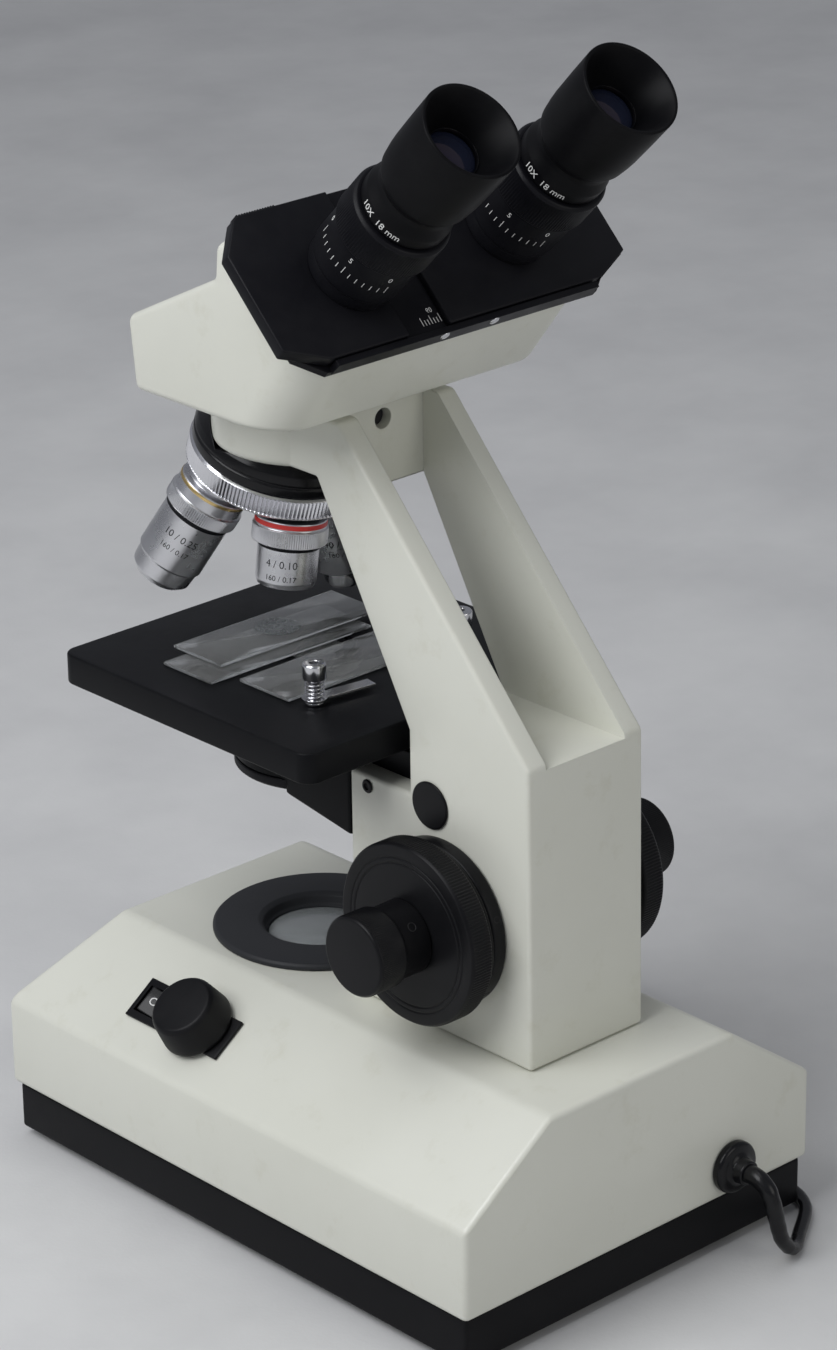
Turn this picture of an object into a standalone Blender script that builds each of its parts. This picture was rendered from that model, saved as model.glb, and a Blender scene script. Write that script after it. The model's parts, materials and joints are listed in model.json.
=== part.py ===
# Binocular microscope with a forked arm, built as separate pieces.
# Metres, +Z up.  +Y is the arm end, -Y the stage end, +X the side with the switch.
import bpy, bmesh, math
from mathutils import Vector, Matrix

# ------------------------------------------------------------------ driving dimensions (mm)
MM = 0.001
DY, DZ = 123.25, 22.0            # from drawing datum (rear face, base joint line) to the part's origin
BASE_W, BASE_L = 85.0, 246.5     # half width, length of the base
BAND_H, TOP_H = 34.6, 63.9       # vertical band and flat top of the base
TOP_W, TOP_F = 44.3, 227.5       # flat top half width, front edge
TRAY_H, FOOT_H = 19.0, 3.0
OPT_Y = -166.5                   # optical axis
ARM_W, CH_W = 27.4, 18.8         # arm half width, channel half width
HEADCYL_R = 34.5
STG_X, STG_R, STG_F, STG_Z, STG_T = 67.9, -94.1, -227.5, 174.4, 11.5
KNOB_Y, KNOB_Z = -68.9, 108.9    # focus shaft
APEX_Z, TILT, TURN = 289.6, math.radians(19.4), math.radians(22.3)
EYE_X, EYE_W, EYE_V = 35.8, 249.8, 311.8   # eyepiece rim centre on the inclined face
CORD_D = 5.0
GAP = 0.3
ROUND = 0.62                     # facet count of the turned pieces, against a fine one

for o in list(bpy.data.objects):
    bpy.data.objects.remove(o, do_unlink=True)

# ------------------------------------------------------------------ helpers
MATS = {
    'white':   ((0.735, 0.745, 0.700), 0.38, 0.0),
    'black':   ((0.022, 0.022, 0.024), 0.45, 0.0),
    'stage':   ((0.055, 0.057, 0.062), 0.55, 0.0),
    'satin':   ((0.018, 0.018, 0.020), 0.35, 0.0),
    'chrome':  ((0.62, 0.62, 0.63), 0.16, 1.0),
    'steel':   ((0.50, 0.50, 0.51), 0.35, 1.0),
    'brass':   ((0.60, 0.45, 0.18), 0.30, 1.0),
    'glass':   ((0.75, 0.82, 0.84), 0.05, 0.0),
    'rubber':  ((0.020, 0.020, 0.020), 0.80, 0.0),
    'ceramic': ((0.80, 0.79, 0.75), 0.50, 0.0),
    'darkmetal': ((0.060, 0.060, 0.066), 0.35, 0.0),
}


def P(x, y, z):
    return Vector((x * MM, (y + DY) * MM, (z + DZ) * MM))


def D(x, y, z):
    return Vector((x, y, z)).normalized()


def finish(ob, mat, smooth=False, pivot=None):
    col, rough, metal = MATS[mat]
    m = bpy.data.materials.new(ob.name)
    m.use_nodes = True
    b = m.node_tree.nodes['Principled BSDF']
    b.inputs['Base Color'].default_value = (*col, 1.0)
    b.inputs['Roughness'].default_value = rough
    b.inputs['Metallic'].default_value = metal
    ob.data.materials.clear()
    ob.data.materials.append(m)
    for p in ob.data.polygons:
        p.use_smooth = smooth
    if pivot is not None:
        ob.data.transform(Matrix.Translation(-pivot))
        ob.location = pivot
    return ob


def from_bm(name, bm):
    bmesh.ops.recalc_face_normals(bm, faces=bm.faces)
    me = bpy.data.meshes.new(name)
    bm.to_mesh(me)
    bm.free()
    ob = bpy.data.objects.new(name, me)
    bpy.context.scene.collection.objects.link(ob)
    return ob


def hull_rings(name, rings):
    """closed solid from equal-length loops of points, capped at both ends"""
    bm = bmesh.new()
    vs = [[bm.verts.new(p) for p in r] for r in rings]
    n = len(vs[0])
    bm.faces.new(vs[0][::-1])
    bm.faces.new(vs[-1])
    for a, b in zip(vs, vs[1:]):
        for i in range(n):
            j = (i + 1) % n
            bm.faces.new((a[i], a[j], b[j], b[i]))
    return from_bm(name, bm)


def box(name, x0, x1, y0, y1, z0, z1):
    r = lambda z: [P(x0, y0, z), P(x1, y0, z), P(x1, y1, z), P(x0, y1, z)]
    return hull_rings(name, [r(z0), r(z1)])


def prism_x(name, pts, x0, x1):
    """extrude a (y, z) outline along X"""
    return hull_rings(name, [[P(x0, y, z) for y, z in pts], [P(x1, y, z) for y, z in pts]])


def frame_box(name, o, u, v, w, ur, vr, wr):
    """box in a slanted frame: o origin (mm), u v w unit vectors, ranges in mm"""
    q = lambda a, b, c: P(*(Vector(o) + a * u + b * v + c * w))
    r = lambda c: [q(ur[0], vr[0], c), q(ur[1], vr[0], c), q(ur[1], vr[1], c), q(ur[0], vr[1], c)]
    return hull_rings(name, [r(wr[0]), r(wr[1])])


def rev(name, prof, o, axis, seg=36, lobes=None):
    """spin a closed (r, h) outline about the axis through o (mm)"""
    if not lobes:
        seg = max(12, 2 * round(seg * ROUND / 2))
    ax = Vector(axis).normalized()
    t = Vector((1, 0, 0)) if abs(ax.x) < 0.9 else Vector((0, 1, 0))
    u = ax.cross(t).normalized()
    v = ax.cross(u)
    bm = bmesh.new()
    rings = []
    for k, (r, h) in enumerate(prof):
        c = Vector(o) + ax * h
        if r < 1e-6:
            rings.append([bm.verts.new(P(*c))])
        else:
            ring = []
            for i in range(seg):
                a = 2 * math.pi * i / seg
                rr = r
                if lobes and k in lobes:
                    rr = r + (lobes[k] if i % 2 else 0.0)
                ring.append(bm.verts.new(P(*(c + rr * (math.cos(a) * u + math.sin(a) * v)))))
            rings.append(ring)
    n = len(rings)
    for k in range(n):
        a, b = rings[k], rings[(k + 1) % n]
        if len(a) == 1 and len(b) == 1:
            continue
        for i in range(seg):
            j = (i + 1) % seg
            if len(a) == 1:
                bm.faces.new((a[0], b[j], b[i]))
            elif len(b) == 1:
                bm.faces.new((a[i], a[j], b[0]))
            else:
                bm.faces.new((a[i], a[j], b[j], b[i]))
    return from_bm(name, bm)


def cyl(name, o, axis, r, h0, h1, seg=32):
    return rev(name, [(0, h0), (r, h0), (r, h1), (0, h1)], o, axis, seg)


def bake(ob):
    dg = bpy.context.evaluated_depsgraph_get()
    me = bpy.data.meshes.new_from_object(ob.evaluated_get(dg))
    old = ob.data
    ob.modifiers.clear()
    ob.data = me
    bpy.data.meshes.remove(old)


def boolean(ob, tools, op='DIFFERENCE'):
    for t in tools:
        t.hide_render = True
        t.display_type = 'WIRE'
        m = ob.modifiers.new('b', 'BOOLEAN')
        m.operation = op
        m.solver = 'EXACT'
        m.object = t
        bake(ob)
        bpy.data.objects.remove(t, do_unlink=True)
        bm = bmesh.new()
        bm.from_mesh(ob.data)
        bmesh.ops.remove_doubles(bm, verts=bm.verts, dist=0.000004)
        bmesh.ops.dissolve_degenerate(bm, edges=bm.edges, dist=0.000004)
        bm.to_mesh(ob.data)
        bm.free()
    return ob


def bevel(ob, w, seg=2, ang=30):
    m = ob.modifiers.new('v', 'BEVEL')
    m.width = w * MM
    m.segments = seg
    m.limit_method = 'ANGLE'
    m.angle_limit = math.radians(ang)
    bake(ob)
    return ob


def bevel_edges(ob, test, w, seg):
    bm = bmesh.new()
    bm.from_mesh(ob.data)
    es = [e for e in bm.edges if test(e.verts[0].co, e.verts[1].co)]
    bmesh.ops.bevel(bm, geom=es, offset=w * MM, segments=seg, profile=0.5, affect='EDGES', clamp_overlap=True)
    bm.to_mesh(ob.data)
    bm.free()
    return ob


X, Y, Z = Vector((1, 0, 0)), Vector((0, 1, 0)), Vector((0, 0, 1))

# ------------------------------------------------------------------ base
def base_rings(d, z0):
    w, f, r = BASE_W - d, BASE_L - d, d
    tw, tf = TOP_W - d * 0.45, TOP_F - d * 0.6
    a = [(w, -f), (w, -r), (-w, -r), (-w, -f)]
    b = [(tw, -tf), (tw, -r), (-tw, -r), (-tw, -tf)]
    return [[P(x, y, z0) for x, y in a], [P(x, y, BAND_H - d * 0.25) for x, y in a],
            [P(x, y, TOP_H - d) for x, y in b]]


base = bevel(hull_rings('base_housing', base_rings(0.0, 0.0)), 2.2, 2, 20)
# the bevel rounded the bottom rim as well: trim it level
SO, SN = Vector((BASE_W, 0, BAND_H)), D(TOP_H - BAND_H, 0, BASE_W - TOP_W)     # slope origin, normal
SS = D(TOP_W - BASE_W, 0, TOP_H - BAND_H)                                      # up the slope
boolean(base, [
    hull_rings('c0', base_rings(3.0, -5.0)),
    cyl('c1', (0, OPT_Y, 0), Z, 24.0, 50, 80, 48),
    frame_box('c2', SO, Y, SS, SN, (-190.3, -142.2), (15.6, 30.4), (-9, 9)),
    cyl('c3', (-44.6, 0, 11.6), Y, 6.2, -8, 8, 24),
])
finish(base, 'white')

tray = bevel(box('bottom_tray', -83, 83, -244.5, -2, -TRAY_H, -GAP), 1.2, 1)
boolean(tray, [box('c', -80.5, 80.5, -242, -4.5, -TRAY_H + 3, 5)])
finish(tray, 'satin')
for nm, fx, fy in (('foot_front_left', 70, -230), ('foot_front_right', -70, -230),
                   ('foot_rear_left', 70, -16), ('foot_rear_right', -70, -16)):
    f = rev(nm, [(0, -TRAY_H - FOOT_H), (7.5, -TRAY_H - FOOT_H), (9, -TRAY_H - GAP), (0, -TRAY_H - GAP)],
            (fx, fy, 0), Z, 20)
    finish(f, 'rubber', True)

# switch bezel in the slope, rocker and dimmer knob
ROCK_Y, ROCK_S, ROCK_N, DIM_Y = -179.5, 23.0, -4.0, -157.5
bez = boolean(frame_box('switch_bezel', SO, Y, SS, SN, (-191.3, -141.2), (14.6, 31.4), (GAP, 1.5)), [
    frame_box('u', SO, Y, SS, SN, (-189.8, -142.7), (16.1, 29.9), (-8, 0.9))], 'UNION')
boolean(bez, [
    frame_box('c', SO, Y, SS, SN, (ROCK_Y - 9.7, ROCK_Y + 9.7), (17.4, 28.6), (-12, 5)),
    cyl('c2', SO + Y * DIM_Y + SS * ROCK_S, SN, 3.5, -12, 5, 20)])
finish(bez, 'satin')


def rock(a, n):
    t = math.radians(-8)
    a2, n2 = a * math.cos(t) - (n - ROCK_N) * math.sin(t), a * math.sin(t) + (n - ROCK_N) * math.cos(t) + ROCK_N
    return a2, n2


rp = [rock(*p) for p in ((-7.2, -6), (7.2, -6), (7.8, -4), (7.8, 2.2), (0, 0.8), (-7.8, 2.2), (-7.8, -4))]
rocker = hull_rings('switch_rocker', [[P(*(SO + Y * (ROCK_Y + a) + SS * s + SN * n)) for a, n in rp] for s in (17.8, 28.2)])
finish(rocker, 'satin', False, P(*(SO + Y * ROCK_Y + SS * ROCK_S + SN * ROCK_N)))
knob = rev('dimmer_knob', [(0, -9), (3.1, -9), (3.1, 1.9), (13.6, 1.9), (14.0, 3.0), (12.4, 14.2), (11.2, 15.4), (0, 15.4)],
           SO + Y * DIM_Y + SS * ROCK_S, SN, 32)
finish(knob, 'satin', True, P(*(SO + Y * DIM_Y + SS * ROCK_S + SN * 1.9)))

# light outlet
ring = rev('collector_ring', [(39.8, 64.2), (39.8, 65.6), (38.8, 66.6), (21.5, 66.6), (19.6, 64.6), (19.6, 58.5),
                              (23.6, 58.5), (23.6, 64.2)], (0, OPT_Y, 0), Z, 48)
finish(ring, 'stage', True)
finish(rev('collector_lens', [(0, 59.0), (19.2, 59.0), (19.2, 61.5), (12, 62.8), (0, 63.4)], (0, OPT_Y, 0), Z, 32), 'glass', True)
finish(rev('lamp_socket', [(0, -15.7), (14, -15.7), (14, -8), (9, -6), (9, 18), (0, 18)], (0, OPT_Y, 0), Z, 20), 'ceramic', True)
finish(rev('lamp_bulb', [(0, 18.3), (4, 18.3), (6.5, 26), (6.5, 38), (4.5, 43), (0, 45)], (0, OPT_Y, 0), Z, 20), 'glass', True)
finish(bevel(box('transformer', -28, 28, -92, -42, -15.7, 26), 2.0, 1), 'darkmetal')

# ------------------------------------------------------------------ mains lead
finish(rev('cord_grip', [(2.8, -6), (5.9, -6), (5.9, 0.3), (9.8, 0.3), (9.8, 3.2), (8.6, 4.2), (5.6, 4.4), (4.6, 9.0), (2.8, 9.0)],
           (-44.6, 0, 11.6), Y, 24), 'rubber', True)


def smooth_path(pts, step):
    pts = [Vector(p) for p in pts]
    ext = [2 * pts[0] - pts[1]] + pts + [2 * pts[-1] - pts[-2]]
    fine = []
    for i in range(1, len(ext) - 2):
        a, b, c, d = ext[i - 1:i + 3]
        for k in range(20):
            t = k / 20
            fine.append(0.5 * ((2 * b) + (c - a) * t + (2 * a - 5 * b + 4 * c - d) * t ** 2 + (3 * b - a - 3 * c + d) * t ** 3))
    fine.append(pts[-1])
    tot = sum((q - p).length for p, q in zip(fine, fine[1:]))
    n = max(2, round(tot / step))
    out, acc, k = [fine[0]], 0.0, 1
    for p, q in zip(fine, fine[1:]):
        seg = (q - p).length
        while k < n and acc + seg >= tot * k / n:
            out.append(p + (q - p) * ((tot * k / n - acc) / seg))
            k += 1
        acc += seg
    out.append(fine[-1])
    return out, tot


FL = -TRAY_H - FOOT_H + CORD_D / 2 + 0.1
COIL = (-120.0, -165.0)
COIL_R, COIL_H = 26.3, 15.2
route = [(-44.6, 9.7, 11.6), (-44.65, 13.0, 11.3), (-45.0, 17.2, 8.6), (-45.6, 19.6, 3.0), (-46.6, 20.8, -4.0), (-48.6, 21.2, -11.0), (-52.5, 21.0, -16.2), (-58.5, 18.8, FL),
         (-66.0, 13.6, FL), (-74.5, 8.0, FL), (-82.0, 2.2, FL), (-87.0, -6.0, FL), (-88.6, -16.0, FL), (-88.8, -36.0, FL), (-89.2, -62.0, FL), (-89.4, -90.0, FL),
         (-89.0, -118.0, FL), (-88.9, -144.8, FL)]
path, _ = smooth_path(route, 11.0)
cu = bpy.data.curves.new('cord_lead', 'CURVE')
cu.dimensions = '3D'
cu.bevel_depth = CORD_D / 2 * MM
cu.bevel_resolution = 2
cu.use_fill_caps = True
sp = cu.splines.new('POLY')
sp.points.add(len(path) - 1)
for q, p in zip(sp.points, path):
    q.co = (*P(*p), 1.0)
lead = bpy.data.objects.new('cord_lead', cu)
bpy.context.scene.collection.objects.link(lead)
lm = bpy.data.materials.new('cord_lead')
lm.use_nodes = True
lb = lm.node_tree.nodes['Principled BSDF']
lb.inputs['Base Color'].default_value = (*MATS['rubber'][0], 1.0)
lb.inputs['Roughness'].default_value = 0.5
cu.materials.append(lm)
h = COIL_H / 2
z0 = -TRAY_H - FOOT_H + h
cp = [(COIL_R + h * c, z0 + h * s) for c, s in ((1, -.5), (1, .5), (.5, 1), (-.5, 1), (-1, .5), (-1, -.5), (-.5, -1), (.5, -1))]
finish(rev('cord_coil', cp, (COIL[0], COIL[1], 0), Z, 40), 'rubber', True)
PX, py0 = COIL[0] + 16.8, COIL[1] - 40.0
zf = -TRAY_H - FOOT_H + 7.0
pr = lambda y, a, b: [P(PX + a * math.copysign(abs(math.cos(t)) ** 0.5, math.cos(t)), y,
                        zf + b * math.copysign(abs(math.sin(t)) ** 0.5, math.sin(t)))
                      for t in [2 * math.pi * (i + 0.5) / 12 for i in range(12)]]
plug = hull_rings('cord_plug', [pr(py0, 5, 4), pr(py0 - 8, 7, 5), pr(py0 - 20, 17, 6.7), pr(py0 - 38, 17, 6.7), pr(py0 - 40, 16, 6.2)])
boolean(plug, [cyl('p%d' % s, (PX + s * 9.3, py0 - 30, zf), -Y, 2.0, 0, 28.5, 12) for s in (-1, 1)], 'UNION')
finish(plug, 'rubber')

# ------------------------------------------------------------------ arm
arm_pts = [(-118, 64.2), (-118, 150.5), (-87.4, 150.5), (-87.4, 174.3), (-132.5, 255), (-166.5, 255), (-166.5, 277.5),
           (-120.4, 277.5), (-28.2, 176.6), (-27.4, 64.2)]
arm = bevel(prism_x('arm_casting', arm_pts, -ARM_W, ARM_W), 1.6, 2)
boolean(arm, [rev('h', [(0, 254.7), (HEADCYL_R - 3, 254.7), (HEADCYL_R - 0.9, 255.7), (HEADCYL_R, 258), (HEADCYL_R, 282.4), (0, 282.4)],
                  (0, OPT_Y, 0), Z, 48)], 'UNION')
SLOT = 19.0
boolean(arm, [
    box('c1', -CH_W, CH_W, -127.8, -10, 175.2, 330),                 # channel between the prongs
    box('c2', -SLOT, SLOT, -130, -77.1, 76, 165.5),                  # slide way
    box('c3', -SLOT, SLOT, -78, -59.5, 98, 120),                     # gear chamber
    cyl('c4', (0, OPT_Y, 0), Z, 22.8, 266, 300, 40),                 # seat of the head
    cyl('c5', (0, OPT_Y, 0), Z, 9.0, 240, 300, 24),                  # light path
    cyl('c6', (0, 0, 270.8), -Y, 3.8, 120, 150, 20),                 # lock screw hole
    cyl('c7', (0, KNOB_Y, KNOB_Z), X, 5.35, -40, 40, 28),            # shaft bore
    cyl('c8', (0, -76.2, 149.6), X, 8.0, 24.0, 40, 28),              # plug seat
])
finish(arm, 'white')
finish(rev('arm_plug', [(0, 24.4), (7.6, 24.4), (7.6, 27.7), (8.7, 27.7), (8.7, 28.4), (0, 28.4)], (0, -76.2, 149.6), X, 28), 'satin', True)
finish(rev('neck_lock_screw', [(0, 131.5), (3.4, 131.5), (3.4, 142.8), (0, 143.4)], (0, 0, 270.8), -Y, 16), 'steel', True)

# ------------------------------------------------------------------ nosepiece
A0 = Vector((0, OPT_Y, APEX_Z))
AX = Vector((0, -math.sin(TILT), -math.cos(TILT)))
E1 = (Vector((0, 0, -1)) - AX * math.cos(TILT)).normalized()
E2 = AX.cross(E1)


def port(k):
    ph = TURN + k * math.pi / 2
    return (math.cos(TILT) * AX + math.sin(TILT) * (math.cos(ph) * E1 + math.sin(ph) * E2)).normalized()


mount = rev('nosepiece_mount', [(0, 26), (20, 26), (28, 31), (31.8, 36.5), (32.6, 40), (32.6, 44.6), (0, 44.6)], A0, AX, 48)
boolean(mount, [
    cyl('c1', (0, OPT_Y, 0), Z, HEADCYL_R + 0.4, 254.3, 330, 48),
    box('c2', -60, 60, OPT_Y, -60, 254.3, 330),
    cyl('c3', (0, OPT_Y, 0), Z, 8.0, 200, 300, 24)])
finish(mount, 'satin', False)
turret = rev('turret', [(0, 45), (32.0, 45), (33.2, 46), (33.2, 53.4), (31.2, 55.2), (26, 57.6), (20.6, 59.6), (14, 61.5), (0, 63)],
             A0, AX, 48, lobes={2: -0.5, 3: -0.5})
TPIV = P(*(A0 + AX * 50))
finish(turret, 'chrome', False, TPIV)
o4 = rev('objective_4x', [(0, 63.4), (12.9, 63.4), (12.9, 66.2), (13.6, 66.6), (13.6, 72.4), (11.1, 72.8), (11.1, 76), (10.9, 87.4), (10.2, 88.5), (5, 88.5), (3.5, 86), (0, 86)], A0, port(0), 32)
o10 = rev('objective_10x', [(0, 63.4), (10.5, 63.4), (10.5, 65.0), (13.2, 65.4), (13.2, 71.0), (14.0, 71.4), (14.0, 76.4), (12.5, 76.8), (12.5, 98.5), (11.9, 98.8), (11.4, 105), (9.0, 107.4), (4, 107.4), (3, 105), (0, 105)], A0, port(1), 32)
o40 = rev('objective_40x', [(0, 63.4), (10.5, 63.4), (10.5, 65.0), (12.6, 65.4), (12.6, 70.6), (13.4, 71.0), (13.4, 76.0), (11.8, 76.4), (11.8, 100.5), (9.9, 101.2), (7.6, 101.2), (7.6, 93.0), (0, 93.0)], A0, port(3), 32)
n40 = rev('objective_40x_nose', [(0, 96.2), (7.25, 96.2), (7.25, 109.8), (6.0, 112.0), (2.2, 112.0), (1.6, 110.6), (0, 110.6)], A0, port(3), 28)
pp = rev('port_plug', [(0, 63.4), (9.8, 63.4), (9.8, 71.5), (8.8, 73.2), (0, 73.2)], A0, port(2), 24)
for o, m in ((o4, 'steel'), (o10, 'steel'), (o40, 'steel'), (n40, 'chrome'), (pp, 'satin')):
    finish(o, m, True, TPIV)

# ------------------------------------------------------------------ binocular head
EW, EV = D(0, 1, 1), D(0, -1, 1)


def H(x, v, w):
    return P(x, (w - v) * math.sqrt(0.5), (w + v) * math.sqrt(0.5))


def yz(v, w):
    return ((w - v) * math.sqrt(0.5), (w + v) * math.sqrt(0.5))


def hplate(name, outline, w0, w1):
    return hull_rings(name, [[H(x, v, w0) for x, v in outline], [H(x, v, w1) for x, v in outline]])


hp = [(-184.5, 282.8), (-187.5, 309), (-140.5, 332.5), (-139.5, 345), yz(337, 157.2), yz(283, 157.2), (-111, 282.8)]
HPIV = P(0, OPT_Y, 282.8)
head = prism_x('head_housing', hp, -64, 64)
zlo, zhi = P(0, 0, 282.8).z, P(*([0] + list(yz(283, 157.2)))).z
bevel_edges(head, lambda a, b: abs(a.x - b.x) < 1e-6 and abs(a.x) > 0.06 and a.y > P(0, -112, 0).y and b.y > P(0, -112, 0).y
            and min(a.z, b.z) < zlo + 0.001 and max(a.z, b.z) < zhi + 0.001, 16, 5)
bevel(head, 3.0, 2, 35)
boolean(head, [cyl('b', (0, OPT_Y, 0), Z, 22.4, 267, 286, 40)], 'UNION')
boolean(head, [
    prism_x('c', [(-179, 288), (-181, 304), (-134, 327.5), yz(330, 157.2), yz(330, 172), yz(291, 172), yz(291, 157.2), (-115, 288)], -57, 57),
    cyl('c2', (0, OPT_Y, 0), Z, 9.0, 250, 300, 24)])
finish(head, 'white', False, HPIV)
prism = prism_x('prism_block', [(-178, 291), (-178, 303), (-136, 323), (-125, 323), (-118, 291)], -52, 52)
boolean(prism, [cyl('c2', (0, OPT_Y, 0), Z, 7.0, 280, 297, 20)])
finish(prism, 'glass', False, HPIV)
rail = boolean(hplate('face_rail', [(-62, 281.4), (62, 281.4), (72, 289.5), (72, 330), (62, 338.5), (-62, 338.5), (-72, 330), (-72, 289.5)], 157.5, 160.2),
               [hplate('u', [(-60, 281.0), (60, 281.0), (60, 283.3), (-60, 283.3)], 159, 164.6)], 'UNION')
boolean(rail, [hplate('c', [(-52, 297), (52, 297), (52, 327), (-52, 327)], 150, 170)])
finish(rail, 'satin', False, HPIV)

VB, VT = 283.8, 341.5
half = lambda s: [(s * 62.0, VB), (s * 78.5, 291.0), (s * 78.5, 328.5), (s * 68.7, 340.3), (s * 66.0, VT)]
pl = boolean(hplate('tube_plate_left', [(-2, VB)] + half(1) + [(-2, VT)], 160.5, 165.6),
             [hplate('c', [(-9, 270), (27.5, 270), (27.5, 350), (-9, 350)], 163.0, 172)])
pr_ = boolean(hplate('tube_plate_right', [(8.8, VB)] + half(-1) + [(8.8, VT)], 160.5, 165.6),
              [hplate('c', [(-20, 270), (15, 270), (15, 350), (-20, 350)], 150, 163.3)])
for s, nm, plate in ((1, 'left', pl), (-1, 'right', pr_)):
    o = Vector((s * EYE_X, *yz(EYE_V, 0)))
    boolean(plate, [cyl('c', o, EW, 13.3, 150, 180, 36)])
    piv = P(*(o + EW * 165.6))
    finish(plate, 'satin', False, piv)
    finish(rev('eyetube_' + nm, [(11.8, 161.2), (13.0, 161.2), (13.0, 165.9), (15.9, 165.9), (15.9, 171.7), (13.0, 171.7), (13.0, 202.8), (11.8, 202.8)],
               o, EW, 36), 'satin', True, piv)
    finish(rev('diopter_ring_' + nm, [(13.3, 172.0), (16.8, 172.0), (17.0, 173.0), (17.0, 189.2), (18.2, 190.4), (18.2, 202.6), (17.2, 203.6), (13.3, 203.6)],
               o, EW, 36), 'satin', True, piv)
    rim = EYE_W
    e = [(18.0, 0), (17.6, 22), (16.7, 30.5), (14.7, 34), (14.7, 36.5), (16.2, 41.0), (16.2, 45.4),
         (11.5, 45.8), (11.5, 70), (9.4, 70), (9.4, 13.5), (15.6, 2.0), (16.9, 0)]
    finish(rev('eyepiece_' + nm, [(r, rim - q) for r, q in e], o, EW, 36), 'satin', True, piv)
    finish(rev('eye_lens_' + nm, [(r, rim - q) for r, q in ((0, 13.0), (6, 13.5), (9.1, 14.6), (9.1, 18), (0, 18))], o, EW, 28), 'glass', True, piv)

# ------------------------------------------------------------------ focusing
FPIV = P(0, KNOB_Y, KNOB_Z)
FO = (0, KNOB_Y, KNOB_Z)
teeth = 16
sh = rev('coarse_shaft', [(3.1, -43), (5.0, -43), (5.0, -6), (8.2, -6), (8.2, 6), (5.0, 6), (5.0, 43), (3.1, 43)], FO, X, teeth * 2,
         lobes={3: -1.0, 4: -1.0})
finish(sh, 'steel', False, FPIV)
finish(cyl('fine_shaft', FO, X, 2.8, -56, 56, 20), 'steel', True, FPIV)
for s, nm in ((1, 'left'), (-1, 'right')):
    c = rev('coarse_knob_' + nm, [(r, s * q) for r, q in ((5.3, 34.3), (30.5, 34.3), (31.4, 34.9), (31.4, 36.6), (32.6, 36.9), (33.5, 37.6), (33.5, 45.4), (32.4, 46.6),
                                                          (3.2, 46.6), (3.2, 43.4), (5.3, 43.4))], FO, X, 48)
    finish(c, 'satin', True, FPIV)
    f = rev('fine_knob_' + nm, [(r, s * q) for r, q in ((3.1, 47.0), (13.4, 47.0), (13.4, 58.6), (14.6, 59.4), (14.7, 60.2), (14.7, 70.4), (13.7, 71.4), (0, 71.4), (0, 57), (3.1, 57))], FO, X, 36)
    finish(f, 'satin', True, FPIV)
finish(rev('tension_ring', [(5.4, 27.9), (30.0, 27.9), (30.6, 28.6), (30.6, 33.2), (29.8, 33.9), (5.4, 33.9)], FO, X, 48), 'satin', True, FPIV)

# ------------------------------------------------------------------ stage
pitch = math.pi * 1.0
cpts = [(-95.6, 112), (-95.6, 160), (-78.3, 160)]
z = 158.0
while z > 116:
    cpts += [(-78.3, z), (-77.5, z - 0.6), (-77.5, z - 1.4), (-78.3, z - 2.0)]
    z -= pitch
cpts += [(-78.3, 112)]
finish(prism_x('focus_carriage', cpts, -18.6, 18.6), 'steel')

br = bevel(prism_x('stage_bracket', [(-172, 162.5), (-172, 132.0), (-160, 130.2), (-118.5, 123.8), (-118.5, 162.5)], -27, 27), 1.5, 2)
boolean(br, [cyl('u', (0, OPT_Y, 0), Z, 29.6, 135.0, 162.1, 44), box('u2', -18.6, 18.6, -122, -96, 125, 160.2)], 'UNION')
boolean(br, [cyl('c', (0, OPT_Y, 0), Z, 24.3, 110, 175, 40), cyl('c2', (0, OPT_Y, 0), Z, 30.4, 110, 134.7, 44)])
finish(br, 'stage')
st = box('stage_plate', -STG_X, STG_X, STG_F, STG_R, STG_Z - STG_T, STG_Z)
bevel_edges(st, lambda a, b: abs(a.z - b.z) > 0.005, 6.0, 3)
bevel(st, 0.8, 1, 60)
boolean(st, [cyl('c', (0, OPT_Y, 0), Z, 15.6, 150, 190, 36)])
finish(st, 'stage')
finish(rev('condenser', [(0, 135.1), (23.9, 135.1), (23.9, 157.5), (15.1, 158.2), (15.1, 172.6), (14.2, 173.6), (12.4, 173.6), (8, 173.0), (0, 172.8)],
           (0, OPT_Y, 0), Z, 36), 'darkmetal', True)
finish(rev('iris_ring', [(9, 130.4), (28.8, 130.4), (30.0, 131.4), (30.0, 134.0), (29.5, 134.4), (9, 134.4)], (0, OPT_Y, 0), Z, 48),
       'satin', True, P(0, OPT_Y, 132.4))
for s, nm in ((1, 'left'), (-1, 'right')):
    cx, cy = s * 35.0, -127.0
    finish(rev('clip_post_' + nm, [(0, STG_Z + GAP), (3.6, STG_Z + GAP), (3.6, 175.7), (2.2, 175.9), (2.2, 184.0), (4.3, 184.2), (4.3, 189.4), (3.6, 190.2), (1.6, 190.2), (1.6, 187), (0, 187)],
               (cx, cy, 0), Z, 20), 'chrome', True)
    ang = math.radians(172) if s > 0 else math.radians(8)
    d = Vector((math.cos(ang), math.sin(ang), 0))
    n = Vector((-d.y, d.x, 0))
    bl = cyl('clip_blade_' + nm, (cx, cy, 0), Z, 4.6, 176.2, 177.0, 20)
    boolean(bl, [frame_box('u', (cx, cy, 176.2), d, n, Z, (0.5, 24), (-2.6, 2.6), (0, 0.8))], 'UNION')
    boolean(bl, [cyl('c', (cx, cy, 0), Z, 2.6, 170, 180, 16)])
    finish(bl, 'steel', False, P(cx, cy, 176.6))
for nm, x0, x1, y0, z0s in (('slide_low', -26.0, 50.0, -191.0, 174.7), ('slide_top', -36.6, 39.4, -198.0, 176.1), ('slide_near', -35.0, 41.0, -160.0, 174.7)):
    finish(box(nm, x0, x1, y0, y0 + 26.0, z0s, z0s + 1.1), 'glass')
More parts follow.
